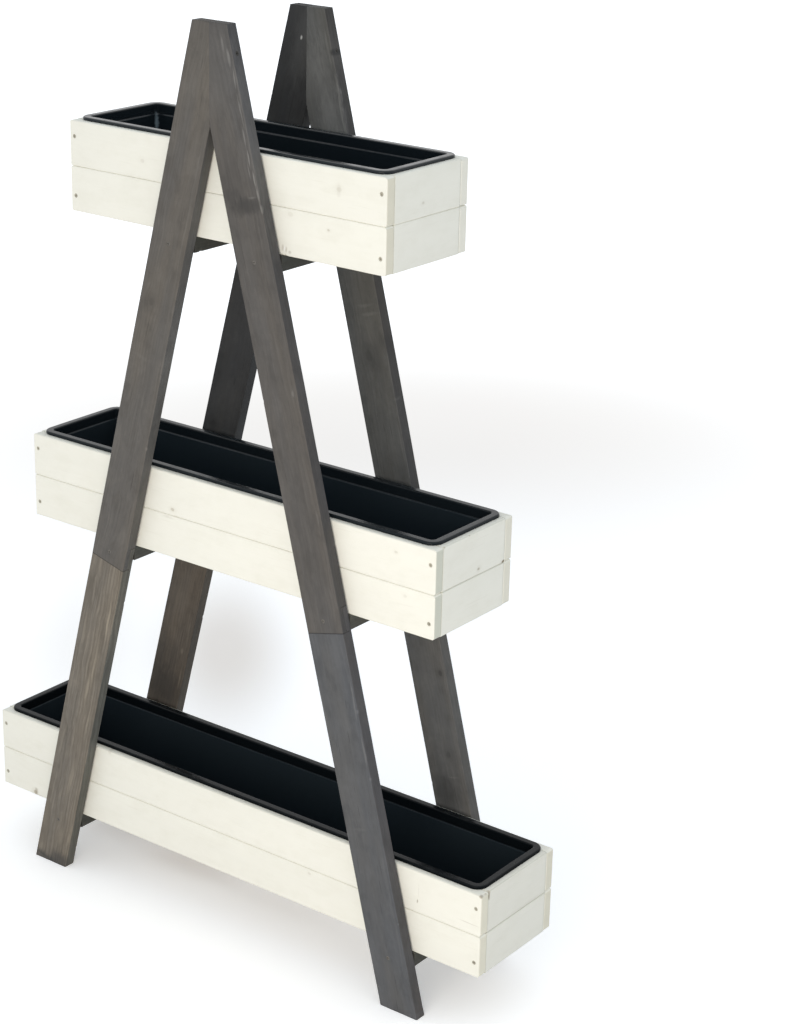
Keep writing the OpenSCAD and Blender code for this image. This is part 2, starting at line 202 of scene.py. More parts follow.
# Knocked corners and edges that show, each as a place on its timber, a radius and a depth in millimetres
SHOWN_CHIPS = {
    "bottom_front_upper_board": [(499, 4, 34, 4, 1.4)],
    "bottom_right_upper_board": [(-75, -9, 34, 5, 1.4)],
    "middle_right_upper_board": [(-13, -9, 34.5, 2.5, 0.8), (-74, -9, 34.5, 3, 1.0)],
    "top_front_lower_board": [(121, -9, -34.5, 3, 0.7), (116, -9, -34.5, 2.5, 0.6)],
}


# ---- Settings ----


def number(name, description, default, **kind):
    """A number setting."""
    return FloatProperty(name=name, description=description, default=default, **kind)


def length(name, description, default):
    """A length setting, in metres."""
    return number(name, description, default, unit="LENGTH", subtype="DISTANCE")


def triple(name, description, default, subtype, **kind):
    """A setting of three numbers."""
    return FloatVectorProperty(
        name=name, description=description, default=default, subtype=subtype, **kind
    )


def colour(name, description, default):
    """A colour setting."""
    return triple(name, description, default, "COLOR", min=0, max=1)


class PlantStandTimberSettings(bpy.types.PropertyGroup):
    """Shape of the wear on the timbers."""

    slice_length: length("Slice", "Distance between the cuts that let a timber wear unevenly", 18 * MM)
    edge_reach: length("Edge reach", "How far from an edge its wear reaches", 4 * MM)
    edge_wear: length("Edge wear", "The most that a stained edge is worn in", 0.35 * MM)
    leg_corner: length("Leg corner", "Radius of the legs' long edges before they are worn", 1.5 * MM)
    painted_wear: length("Painted wear", "The most that a painted board's edge is worn in", 0.3 * MM)
    joint_line: length("Joint line", "How far the dark line of a joint reaches", 1.4 * MM)
    dents: IntProperty(name="Dents", description="Dents along the edges of a leg length", default=4, min=0)
    dent_radius: length("Dent radius", "Radius of the largest dents", 5 * MM)
    dent_depth: length("Dent depth", "Depth of the largest dents", 1.1 * MM)


class PlantStandLinerSettings(bpy.types.PropertyGroup):
    """Sizes of the moulded liners."""

    rim_height: length("Rim height", "Height of the rim", 5 * MM)
    rim_width: length("Rim width", "Width of the rim, from its outer edge to the neck's inside", 12.5 * MM)
    rim_roll: length("Rim roll", "Radius of the rim's rolled edges", 2.5 * MM)
    rim_corner: length("Rim corner", "Outer radius of the rim at the corners", 19 * MM)
    wall: length("Wall", "Thickness of the walls", 2 * MM)
    neck_depth: length("Neck depth", "Depth of the neck, from the top of the rim to the ledge", 16 * MM)
    ledge_width: length("Ledge width", "Width of the ledge below the neck", 2 * MM)
    ledge_fall: length("Ledge fall", "How far the ledge falls inwards", 0.93 * MM)
    draft: length("Draft", "Inward lean of the walls below the ledge", 2 * MM)
    floor_fillet: length("Floor fillet", "Radius between the walls and the floor", 2 * MM)
    edge_round: length("Edge round", "Rounding of the ledge and the lip", 0.7 * MM)
    rim_warp: length("Rim warp", "How far the rim rises off the boards in places", 0.4 * MM)


class PlantStandFinishSettings(bpy.types.PropertyGroup):
    """Colours of the paint, the stains, the plastic and the steel."""

    paint: colour("Paint", "Cream paint of the boxes", srgb(243, 241, 230))
    # Also the painted shade on the boards' edges
    paint_shade: colour("Paint shade", "Where the cream paint is thin or rubbed", srgb(222, 219, 203))
    paint_knot: colour("Paint over knots", "Where a knot bleeds through the paint", srgb(176, 166, 146))
    paint_end: colour("Painted end grain", "Paint that has sunk into end grain", srgb(229, 224, 206))
    # Painted shade in the grooves and along the boards' long edges, and the dark line of a joint
    paint_groove: colour("Paint in grooves", "Thin paint in the grooves between boards", srgb(186, 188, 172))
    # Darkened, it also paints the shade on the bottom box's right end boards
    bare_wood: colour("Bare wood", "Wood where the finish is knocked off", srgb(150, 128, 98))
    # These also colour the painted highlights and painted light in the legs' pale patches
    rubbed: colour("Rubbed stain", "Stain where it is rubbed pale", srgb(186, 184, 179))
    rubbed_warm: colour("Rubbed warm stain", "Brown stain where it is rubbed pale", srgb(190, 179, 160))
    slat_wood: colour("Slat wood", "Bare sawn wood of the floor slats", srgb(205, 182, 143))
    bearers: colour("Bearers", "Stain of the bearers", BEARER_COAT.stain)
    liner: colour("Liner", "Black plastic of the liners", srgb(24, 30, 34))
    box_screws: colour("Box screws", "Painted steel of the screws in the boxes", srgb(208, 202, 184))
    frame_screws: colour("Frame screws", "Stained steel of the screws in the frames", srgb(116, 112, 105))


# The stain of each leg length is a setting of its own
PlantStandFinishSettings.__annotations__.update(
    (leg, colour(leg.replace("_", " ").capitalize(), "Stain of that leg length", coat.stain))
    for leg, coat in LEG_COATS.items()
)


class PlantStandStudioSettings(bpy.types.PropertyGroup):
    """Camera, lamp, sky and floor."""

    camera_place: triple(
        "Camera place", "Place of the camera", (2.16138, -2.55358, 1.93481), "TRANSLATION", unit="LENGTH"
    )
    camera_turn: triple(
        "Camera turn",
        "Turn of the camera about X, Y and Z",
        tuple(math.radians(angle) for angle in (69.6146, -1.3123, 37.0225)),
        "EULER",
        unit="ROTATION",
    )
    focal_length: number("Focal length", "Focal length in millimetres, on a 36 mm sensor", 81.104)
    sky: number("Sky", "Strength of the even light from all round", 0.84)
    sky_colour: colour("Sky colour", "Colour of the even light", (0.89, 0.945, 1.0))
    key_power: number("Key power", "Power of the large soft lamp", 19, unit="POWER")
    key_colour: colour("Key colour", "Colour of the large soft lamp", (1.0, 0.895, 0.77))
    key_place: triple(
        "Key place", "Place of the large soft lamp", (0.9, -2.0, 0.8), "TRANSLATION", unit="LENGTH"
    )
    key_size: length("Key size", "Width of the large soft lamp", 1.4)
    floor_white: colour("Floor", "Colour of the floor as it lights the stand", (0.8, 0.8, 0.8))
    floor_seen: colour("Floor as seen", "Colour of the floor as the camera sees it", (1.0, 1.0, 1.0))
    floor_lift: number("Floor lift", "How much brighter the camera sees the floor by the stand", 0.28)
    far_lift: number("Far lift", "How much brighter the camera sees the floor far away", 0.5)


# ---- Places of the timbers, read from the frame ----


def straight_timber(node, turn):
    """A timber that lies square in the frame."""
    low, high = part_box(node)
    own = turn.to_matrix().inverted() @ (high - low)
    return Timber(node, (low + high) / 2, turn, Vector(abs(share) / 2 for share in own))


def level_end(node, height):
    """Where a leg's level end lies across the frame: its least and its greatest X."""
    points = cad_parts[node].data.vertices
    across = [vert.co.x for vert in points if abs(vert.co.z - height) < MERGE]
    return min(across), max(across)


def leg_line():
    """The legs' lean, their width, and the place of a leg's middle line at the floor."""
    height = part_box("front_right_upper_leg")[1].z
    inner, outer = level_end("front_right_lower_leg", 0)
    _, apex = level_end("front_right_upper_leg", height)
    lean = math.atan((outer - apex) / height)
    return lean, (outer - inner) * math.cos(lean), (outer + inner) / 2


def leg_timber(node):
    """One length of a leg, which leans in from its foot."""
    lean, width, foot_x = leg_line()
    side = SIDES["left" if "_left_" in node else "right"]
    low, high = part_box(node)
    middle = (low + high) / 2
    centre = Vector((side * (foot_x - middle.z * math.tan(lean)), middle.y, middle.z))
    turn = Euler((0, -math.radians(90) - side * lean, 0))
    along = (high.z - low.z) / 2 / math.cos(lean)
    return Timber(node, centre, turn, Vector((along, (high.y - low.y) / 2, width / 2)))


def own_frame(timber):
    """The matrix from a timber's own coordinates to the frame's."""
    return Matrix.Translation(timber.centre) @ timber.turn.to_matrix().to_4x4()


# ---- Timber shapes ----

# From what share of its normal along the timber a face is cut square, and from what share it is an end
SQUARE = 0.999
ENDWISE = 0.1
# How much two faces may turn and still be one flat face, and from what turn an edge is sharp
FLAT_TURN = math.radians(0.5)
SHARP_TURN = math.radians(38)
# The slow and the quick waves that wear an edge unevenly, a metre, and how far apart they lie in the
# noise
SLOW_WAVES, QUICK_WAVES, WAVES_APART = 9, 55, 20
# The shares of an edge's wear that are even, slow and quick
EVEN_WEAR, SLOW_WEAR, QUICK_WEAR = 0.3, 0.7, 0.35
# How much further the bare wood of a dent reaches than its depth
BARE_SPREAD = 1.6


def cut(bm, spot, normal):
    """Adds a line of points where a plane meets the timber."""
    whole = bm.verts[:] + bm.edges[:] + bm.faces[:]
    bmesh.ops.bisect_plane(bm, geom=whole, dist=MERGE, plane_co=spot, plane_no=normal)


def square_ends(bm):
    """The faces where a timber is cut square: at its ends, or at the shoulders of a lap."""
    return [face for face in bm.faces if abs(face.normal.x) > SQUARE]


def slice_timber(bm, half, settings):
    """Cuts a timber across at even steps, and lengthwise beside its edges and down its middle."""
    for end in sorted({round(face.calc_center_median().x, 5) for face in square_ends(bm)}):
        for way in (-1, 1):
            cut(bm, (end + way * settings.joint_line, 0, 0), (1, 0, 0))
    steps = max(2, round(2 * half.x / settings.slice_length))
    for step in range(1, steps):
        cut(bm, (half.x * (2 * step / steps - 1), 0, 0), (1, 0, 0))
    for inset in (settings.edge_reach, settings.edge_reach / 2):
        for side in (-1, 1):
            cut(bm, (side * (half.x - inset), 0, 0), (1, 0, 0))
            cut(bm, (0, side * (half.y - inset), 0), (0, 1, 0))
            cut(bm, (0, 0, side * (half.z - inset)), (0, 0, 1))
    for share in (-0.5, 0, 0.5):
        cut(bm, (0, 0, share * half.z), (0, 0, 1))


def mark_joints(bm):
    """Gives the points round each square cut a 1 in their own layer, for the dark line of a joint."""
    joint = bm.verts.layers.float.new("joint")
    for face in square_ends(bm):
        for vert in face.verts:
            vert[joint] = 1


def crisp_corners(bm, half, radius):
    """Moves the rounding of the long edges out to a smaller radius, each end's points in its own plane."""
    eased = half.y - max(abs(v.co.y) for v in bm.verts if half.z - abs(v.co.z) < MERGE)
    steps = {}
    for vert in bm.verts:
        rise = [(abs(vert.co[i]) - half[i]) / eased + 1 for i in (1, 2)]
        if min(rise) < -MERGE:
            continue
        step = Vector((0, *((eased - radius) * (1 - share) for share in rise)))
        step.y = math.copysign(step.y, vert.co.y)
        step.z = math.copysign(step.z, vert.co.z)
        for face in vert.link_faces:
            if abs(face.normal.x) > ENDWISE:
                step.x = -(face.normal.y * step.y + face.normal.z * step.z) / face.normal.x
        steps[vert] = step
    for vert, step in steps.items():
        vert.co += step


def wear_edges(bm, half, seed, most, settings):
    """Moves the edges in by a slow, uneven amount, as planing, sanding and handling leave them."""
    for vert in bm.verts:
        inside = [half[i] - abs(vert.co[i]) for i in range(3)]
        near = [i for i in range(3) if inside[i] < settings.edge_reach]
        if len(near) < 2:
            continue
        corner = sum(3**i * math.copysign(1, vert.co[i]) for i in near)
        slow = noise.noise(Vector((SLOW_WAVES * vert.co.x, corner, seed)))
        quick = noise.noise(Vector((QUICK_WAVES * vert.co.x, corner + WAVES_APART, seed)))
        amount = most * max(0, EVEN_WEAR + SLOW_WEAR * slow + QUICK_WEAR * quick)
        for i in near:
            amount *= 1 - max(0, inside[i]) / settings.edge_reach
        for i in near:
            vert.co[i] -= math.copysign(amount, vert.co[i])


def dent(bm, spot, radius, depth, bare):
    """Presses a small hollow into the timber round a place on one of its edges."""
    for step in range(-2, 3):
        cut(bm, (spot.x + step * radius / 2, 0, 0), (1, 0, 0))
    inwards = -Vector((0, math.copysign(1, spot.y), math.copysign(1, spot.z))).normalized()
    for vert in bm.verts:
        distance = (vert.co - spot).length / radius
        if distance < 1:
            fall = (1 - distance**2) ** 2
            vert.co += inwards * depth * fall
            vert[bare] = max(vert[bare], min(1, BARE_SPREAD * fall))


def knock(bm, timber, dents, settings):
    """Dents a timber where it shows knocks, and here and there along its other edges."""
    half = timber.half
    bare = bm.verts.layers.float.new("bare")
    chance = random.Random(timber.node)
    for *spot, radius, depth in SHOWN_CHIPS.get(timber.node, []):
        dent(bm, Vector(spot) * MM, radius * MM, depth * MM, bare)
    for _ in range(dents):
        along = chance.uniform(-0.95, 0.95) * half.x
        through = chance.choice((-1, 1)) * half.y
        across = chance.choice((-1, 1)) * half.z
        size = chance.uniform(0.35, 1) ** 2
        radius = settings.dent_radius * math.sqrt(size)
        dent(bm, Vector((along, through, across)), radius, settings.dent_depth * size, bare)


def worn_timber(timber, material, painted=False):
    """A timber's piece: its solid, sliced, worn along the edges and dented, a painted one only a little."""
    settings = bpy.context.scene.plant_stand_timber
    most = settings.painted_wear if painted else settings.edge_wear
    own = own_frame(timber)
    bm = bmesh.new()
    bm.from_mesh(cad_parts[timber.node].data)
    bmesh.ops.remove_doubles(bm, verts=bm.verts, dist=MERGE)
    bmesh.ops.dissolve_limit(bm, angle_limit=FLAT_TURN, verts=bm.verts, edges=bm.edges)
    bmesh.ops.transform(bm, matrix=own.inverted(), verts=bm.verts)
    if timber.node.endswith("_leg"):
        crisp_corners(bm, timber.half, settings.leg_corner)
    slice_timber(bm, timber.half, settings)
    mark_joints(bm)
    wear_edges(bm, timber.half, random.Random(timber.node).uniform(0, 100), most, settings)
    knock(bm, timber, 0 if painted else settings.dents, settings)
    bmesh.ops.triangulate(bm, faces=bm.faces)
    bmesh.ops.transform(bm, matrix=own, verts=bm.verts)
    finished_piece(bm, timber.node + "_timber", "stand", timber.node, material)


def finished_piece(bm, name, body, node, material):
    """Makes a mesh an object that stands for a node, rides on a body and takes its finish from a slot."""
    mesh = bpy.data.meshes.new(name)
    bm.to_mesh(mesh)
    bm.free()
    mesh.polygons.foreach_set("use_smooth", [True] * len(mesh.polygons))
    mesh.set_sharp_from_angle(angle=SHARP_TURN)
    mesh.materials.append(material)
    piece = add_object(name, mesh)
    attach(piece, body)
    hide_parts(node)
    piece.modifiers.new("flat_faces", "WEIGHTED_NORMAL").keep_sharp = True


def add_object(name, data):
    """An object in the scene."""
    made = bpy.data.objects.new(name, data)
    bpy.context.scene.collection.objects.link(made)
    return made


# ---- Liners ----

# Steps round a quarter turn of the rim, and the length of a step along its straight runs
CORNER_STEPS = 12
RUN_STEP = 25 * MM
# From what turn an edge of the section is rounded
FOLD_TURN = math.radians(24)
# How far down from the top the rim's finish reaches, as a share of its height
RIM_REACH = 1.1
# The waves of an uneven rim, a metre, and how far apart the liners lie in their noise
WARP_WAVES, WARP_SEED = 7, 7.3


def arc(centre, radius, start, end, steps=6):
    """Points of an arc in a section, from one angle to another in degrees."""
    turns = [math.radians(start + (end - start) * step / steps) for step in range(steps + 1)]
    return [(centre[0] + radius * math.cos(turn), centre[1] + radius * math.sin(turn)) for turn in turns]


def liner_section(depth, sizes):
    """Section of a liner from its floor's inside, up over the rim and down to its underside."""
    neck = sizes.wall - sizes.rim_width
    body = neck - sizes.ledge_width
    foot = body - sizes.draft
    floor = foot - sizes.wall - sizes.floor_fillet
    fillet_z = -depth + sizes.wall + sizes.floor_fillet
    ledge_z = -sizes.neck_depth - sizes.ledge_fall
    return [
        *arc((floor, fillet_z), sizes.floor_fillet, -90, 0),
        (-sizes.rim_width - sizes.ledge_width, ledge_z),
        (-sizes.rim_width, -sizes.neck_depth),
        *arc((-sizes.rim_width + sizes.rim_roll, -sizes.rim_roll), sizes.rim_roll, 180, 90),
        *arc((-sizes.rim_roll, -sizes.rim_roll), sizes.rim_roll, 90, 0),
        (0, -sizes.rim_height),
        (-sizes.wall, -sizes.rim_height),
        (-sizes.wall, -sizes.wall),
        (neck, -sizes.wall),
        (neck, -sizes.neck_depth - sizes.wall / 2),
        (body, ledge_z - sizes.wall / 2),
        (foot, -depth + sizes.wall),
        (foot - sizes.wall, -depth),
        (floor, -depth),
    ]


def sweep_liner(bm, low, high, sizes):
    """Takes the section round the rim: a quarter turn at each corner and a straight run between."""
    corner = sizes.rim_corner
    run_x = high.x - corner
    run_y = high.y - corner
    section = liner_section(high.z - low.z, sizes)
    verts = [bm.verts.new((high.x + out, run_y, high.z + up)) for out, up in section]
    line = [bm.edges.new(pair) for pair in zip(verts, verts[1:])]
    runs = [(run_x, run_y), (-run_x, run_y), (-run_x, -run_y), (run_x, -run_y)]
    for start, end in zip(runs, runs[1:] + runs[:1]):
        turned = bmesh.ops.spin(
            bm,
            geom=verts + line,
            cent=(*start, 0),
            axis=(0, 0, 1),
            angle=math.radians(90),
            steps=CORNER_STEPS,
            use_duplicate=False,
        )["geom_last"]
        line = [g for g in turned if isinstance(g, bmesh.types.BMEdge)]
        way = Vector((end[0] - start[0], end[1] - start[1], 0))
        pieces = max(2, round(way.length / RUN_STEP))
        for _ in range(pieces):
            made = bmesh.ops.extrude_edge_only(bm, edges=line)["geom"]
            verts = [g for g in made if isinstance(g, bmesh.types.BMVert)]
            ends = set(verts)
            line = [g for g in made if isinstance(g, bmesh.types.BMEdge) and ends.issuperset(g.verts)]
            bmesh.ops.translate(bm, vec=way / pieces, verts=verts)


def shape_rim(bm, top, seed, sizes):
    """Lifts the rim off flat here and there, and marks the inside and the rim for the finish."""
    inside = bm.verts.layers.float.new("inside")
    rim = bm.verts.layers.float.new("rim")
    for vert in bm.verts:
        vert[inside] = float(vert.co.z < top - sizes.neck_depth)
        vert[rim] = float(vert.co.z > top - RIM_REACH * sizes.rim_height)
        share = (vert.co.z - top + sizes.neck_depth) / (sizes.neck_depth - sizes.rim_height)
        if share > 0:
            rise = noise.noise(Vector((WARP_WAVES * vert.co.x, WARP_WAVES * vert.co.y, seed)))
            vert.co.z += sizes.rim_warp * max(0, rise) * min(1, share)


def moulded_liner(tier, material):
    """One liner: the swept wall, its floor, softened edges and a rim that isn't quite flat."""
    sizes = bpy.context.scene.plant_stand_liners
    node = tier + "_liner"
    low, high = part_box(node)
    bm = bmesh.new()
    sweep_liner(bm, low, high, sizes)
    bmesh.ops.remove_doubles(bm, verts=bm.verts, dist=10 * MERGE)
    bmesh.ops.holes_fill(bm, edges=[e for e in bm.edges if e.is_boundary], sides=0)
    bmesh.ops.recalc_face_normals(bm, faces=bm.faces)
    bmesh.ops.bevel(
        bm,
        geom=[e for e in bm.edges if e.calc_face_angle(0) > FOLD_TURN],
        offset=sizes.edge_round,
        segments=2,
        profile=0.5,
        affect="EDGES",
        material=-1,
        clamp_overlap=True,
    )
    shape_rim(bm, high.z, TIERS.index(tier) * WARP_SEED, sizes)
    finished_piece(bm, node + "_moulding", node, node, material)


# ---- Node building ----

# Where a Mix node takes its share and its two colours, and where it gives the mixed one
MIX_SHARE, MIX_BELOW, MIX_ABOVE, MIX_RESULT = 0, 6, 7, 2


def feed(tree, node, inputs):
    """Links or sets a node's inputs."""
    for key, value in inputs.items():
        if isinstance(value, bpy.types.NodeSocket):
            tree.links.new(value, node.inputs[key])
        else:
            node.inputs[key].default_value = value


def place(tree, kind, inputs=None, **settings):
    """Adds a shader node, sets it up and links or sets its inputs."""
    made = tree.nodes.new("ShaderNode" + kind)
    for key, value in settings.items():
        setattr(made, key, value)
    feed(tree, made, inputs or {})
    return made


def maths(tree, operation, *values, clamp=False):
    """The output of a Math node."""
    made = place(tree, "Math", dict(enumerate(values)), operation=operation, use_clamp=clamp)
    return made.outputs[0]


def times(tree, value, factor):
    """A value times another."""
    return maths(tree, "MULTIPLY", value, factor)


def vectors(tree, operation, *values):
    """The output of a Vector Math node: its value for a length or a dot product, or else its vector."""
    made = place(tree, "VectorMath", dict(enumerate(values)), operation=operation)
    return made.outputs["Value" if operation in ("LENGTH", "DOT_PRODUCT") else "Vector"]


def split(tree, vector):
    """The three parts of a vector, by the names X, Y and Z."""
    return place(tree, "SeparateXYZ", {0: vector}).outputs


def attribute(tree, name):
    """A value that the points of a mesh carry."""
    return place(tree, "Attribute", attribute_name=name).outputs["Fac"]


def object_spot(tree):
    """The place on the object, which is also its place in the frame at rest."""
    return place(tree, "TexCoord").outputs["Object"]


def ramp(tree, value, low, high, start=0.0, end=1.0):
    """A smooth step from start to end as a value goes from low to high."""
    inputs = {"Value": value, "From Min": low, "From Max": high, "To Min": start, "To Max": end}
    return place(tree, "MapRange", inputs, interpolation_type="SMOOTHSTEP").outputs["Result"]


def blend(tree, share, below, above, way="MIX"):
    """Mixes two colours by a share."""
    tones = [
        tone if isinstance(tone, bpy.types.NodeSocket) else (*tone[:3], 1) for tone in (below, above)
    ]
    inputs = {MIX_SHARE: share, MIX_BELOW: tones[0], MIX_ABOVE: tones[1]}
    made = place(tree, "Mix", inputs, data_type="RGBA", blend_type=way, clamp_factor=True)
    return made.outputs[MIX_RESULT]


def laid_over(tree, tone, layers):
    """Lays colours over a tone in turn. Each layer is a mask, the share of it that counts and a colour."""
    for mask, share, above in layers:
        tone = blend(tree, times(tree, mask, share), tone, above)
    return tone


def grain_noise(tree, vector, stretch, detail=2.0, roughness=0.5, output="Fac"):
    """Noise on coordinates that are stretched by their own scale in each direction."""
    stretched = vectors(tree, "MULTIPLY", vector, stretch)
    inputs = {"Vector": stretched, "Scale": 1.0, "Detail": detail, "Roughness": roughness}
    return place(tree, "TexNoise", inputs).outputs[output]


def drift(tree, vector, stretch, detail, reach):
    """A slow push of up to half a reach to every side."""
    waves = grain_noise(tree, vector, stretch, detail, output="Color")
    centred = vectors(tree, "SUBTRACT", waves, (0.5, 0.5, 0.5))
    return place(tree, "VectorMath", {0: centred, "Scale": reach}, operation="SCALE").outputs["Vector"]


def bumped(tree, surface, height, strength, distance):
    """Gives a surface a bump."""
    inputs = {"Strength": strength, "Distance": distance, "Height": height}
    feed(tree, surface, {"Normal": place(tree, "Bump", inputs).outputs["Normal"]})


def new_group(name, inputs, masks, bent=()):
    """A node group that takes coordinates and more, and gives masks and bent coordinates.

    It gives back the group's tree, its input sockets and its output node.
    """
    tree = bpy.data.node_groups.new(name, "ShaderNodeTree")
    for socket, default in {"Vector": ORIGIN, **inputs}.items():
        kind = "NodeSocketFloat" if isinstance(default, float) else "NodeSocketVector"
        tree.interface.new_socket(socket, in_out="INPUT", socket_type=kind).default_value = default
    for kind, sockets in (("NodeSocketFloat", masks), ("NodeSocketVector", bent)):
        for socket in sockets:
            tree.interface.new_socket(socket, in_out="OUTPUT", socket_type=kind)
    return tree, tree.nodes.new("NodeGroupInput").outputs, tree.nodes.new("NodeGroupOutput")


def use_group(tree, name, **inputs):
    """Places a node group, with its inputs named as its sockets are, in small letters."""
    titled = {key.replace("_", " ").title(): value for key, value in inputs.items()}
    return place(tree, "Group", titled, node_tree=bpy.data.node_groups[name]).outputs


# ---- Effects that several materials share ----

# How far the growth rings widen along a timber, as a share of its length
TRUNK_TAPER = 0.014
# How wide a knot is across the grain, as a share of its length along it, and how far it pulls the grain
# aside, as a share of the way to its middle
KNOT_WIDTH = 0.72
KNOT_PULL = 0.8
# How unevenly an edge is rubbed, and where the shade of a groove starts to fade and ends beside it
RUBBED_WANDER = 6 * MM
GROOVE_START, GROOVE_END = 0.3 * MM, 2.2 * MM


def build_grain():
    """Growth rings round a pith, fine fibres, slow clouds and drying checks, in a timber's own space."""
    tree, given, out = new_group(
        "timber_grain",
        {
            "Pith": (0, -0.05, 0.01),
            "Ring Spacing": 4 * MM,
            "Wander": 10 * MM,
            "Ripple": 9 * MM,
            "Seed": 0.0,
        },
        ("Rings", "Fibres", "Clouds", "Checks"),
        ("Rippled",),
    )
    spot = given["Vector"]
    seed = given["Seed"]
    shift = place(tree, "CombineXYZ", {"X": seed, "Y": seed, "Z": seed}).outputs[0]
    seeded = vectors(tree, "ADD", spot, shift)
    ripple = drift(tree, seeded, (15, 22, 22), 2.0, given["Ripple"])
    rippled = vectors(tree, "ADD", spot, ripple)
    sway = drift(tree, seeded, (1.6, 7, 7), 1.5, given["Wander"])
    bent = vectors(tree, "ADD", rippled, sway)
    from_pith = vectors(tree, "SUBTRACT", bent, given["Pith"])
    radius = vectors(tree, "LENGTH", vectors(tree, "MULTIPLY", from_pith, (0.0, 1.0, 1.0)))
    tapered = maths(tree, "MULTIPLY_ADD", split(tree, spot)["X"], TRUNK_TAPER, radius)
    turn = maths(tree, "FRACT", maths(tree, "DIVIDE", tapered, given["Ring Spacing"]))
    late = times(tree, ramp(tree, turn, 0.35, 0.88), ramp(tree, turn, 0.9, 1.0, 1.0, 0.0))
    threads = vectors(tree, "ADD", bent, shift)
    masks = {
        "Rings": late,
        "Fibres": grain_noise(tree, threads, (10, 300, 300), detail=4.0, roughness=0.62),
        "Clouds": grain_noise(tree, seeded, (3.0, 20, 20), detail=3.0),
        "Checks": ramp(tree, grain_noise(tree, seeded, (16, 420, 420), detail=1.0), 0.70, 0.76),
        "Rippled": rippled,
    }
    feed(tree, out, masks)


def build_knot():
    """One knot: its dark eye, the halo round it, and coordinates that bend the grain past it."""
    inputs = {"Place": ORIGIN, "Size": 5 * MM, "Strength": 1.0}
    tree, given, out = new_group("timber_knot", inputs, ("Eye", "Halo"), ("Vector",))
    spot = given["Vector"]
    away = vectors(tree, "SUBTRACT", spot, given["Place"])
    flat = vectors(tree, "MULTIPLY", away, (KNOT_WIDTH, 0.0, 1.0))
    wobble = grain_noise(tree, spot, (240, 240, 240))
    rough = maths(tree, "MULTIPLY_ADD", wobble, 0.7, 0.65)
    distance = maths(tree, "DIVIDE", vectors(tree, "LENGTH", flat), given["Size"])
    ragged = times(tree, distance, rough)
    eye = ramp(tree, ragged, 0.45, 0.95, 1.0, 0.0)
    halo = maths(tree, "SUBTRACT", ramp(tree, ragged, 0.9, 2.4, 1.0, 0.0), eye, clamp=True)
    fade = maths(tree, "EXPONENT", times(tree, maths(tree, "POWER", distance, 2.0), -0.3))
    pull = times(tree, times(tree, split(tree, away)["Z"], fade), -KNOT_PULL)
    bend = place(tree, "CombineXYZ", {"Z": pull}).outputs[0]
    masks = {
        "Vector": vectors(tree, "ADD", spot, bend),
        "Eye": times(tree, eye, given["Strength"]),
        "Halo": times(tree, halo, given["Strength"]),
    }
    feed(tree, out, masks)


def build_patch():
    """A soft, ragged patch round a place."""
    inputs = {"Place": ORIGIN, "Reach": (0.01, 0.01, 0.01)}
    tree, given, out = new_group("soft_patch", inputs, ("Mask",))
    spot = given["Vector"]
    away = vectors(tree, "SUBTRACT", spot, given["Place"])
    distance = vectors(tree, "LENGTH", vectors(tree, "DIVIDE", away, given["Reach"]))
    wobble = grain_noise(tree, spot, (60, 260, 260), detail=3.0, roughness=0.6)
    ragged = times(tree, distance, maths(tree, "MULTIPLY_ADD", wobble, 1.2, 0.4))
    feed(tree, out, {"Mask": ramp(tree, ragged, 0.3, 1.2, 1.0, 0.0)})


def build_edges():
    """Masks of a timber's rubbed edges, grooves, end grain and narrow faces."""
    inputs = {
        "Half Size": (1, 1, 1),
        "Reach": 1.5 * MM,
        "Grain Direction": (1, 0, 0),
        "Across Direction": (0, 0, 1),
    }
    tree, given, out = new_group("timber_edges", inputs, ("Edge", "Groove", "End", "Narrow"))
    spot = given["Vector"]
    away = vectors(tree, "ABSOLUTE", spot)
    inside = split(tree, vectors(tree, "SUBTRACT", given["Half Size"], away))
    long_edge = maths(tree, "MAXIMUM", inside["Y"], inside["Z"])
    end_edge = maths(tree, "MAXIMUM", inside["X"], maths(tree, "MINIMUM", inside["Y"], inside["Z"]))
    nearest = maths(tree, "MINIMUM", long_edge, end_edge)
    patches = grain_noise(tree, spot, (28, 90, 90), detail=4.0, roughness=0.65)
    ragged = maths(tree, "MULTIPLY_ADD", maths(tree, "SUBTRACT", patches, 0.5), RUBBED_WANDER, nearest)
    masks = {
        "Edge": ramp(tree, ragged, 0.0, given["Reach"], 1.0, 0.0),
        "Groove": ramp(tree, long_edge, GROOVE_START, GROOVE_END, 1.0, 0.0),
    }
    normal = place(tree, "NewGeometry").outputs["Normal"]
    for direction, name in (("Grain Direction", "End"), ("Across Direction", "Narrow")):
        facing = maths(tree, "ABSOLUTE", vectors(tree, "DOT_PRODUCT", normal, given[direction]))
        masks[name] = ramp(tree, facing, 0.75, 0.95)
    feed(tree, out, masks)


def build_smudges():
    """Soft patches of handling marks and fine specks."""
    tree, given, out = new_group("handling", {"Seed": 0.0}, ("Smudges", "Specks"))
    shift = place(tree, "CombineXYZ", {"X": given["Seed"], "Z": given["Seed"]})
    seeded = vectors(tree, "ADD", given["Vector"], shift.outputs[0])
    patches = grain_noise(tree, seeded, (14, 30, 30), detail=4.0, roughness=0.6)
    specks = grain_noise(tree, seeded, (420, 420, 420))
    masks = {"Smudges": ramp(tree, patches, 0.5, 0.72), "Specks": ramp(tree, specks, 0.70, 0.76)}
    feed(tree, out, masks)


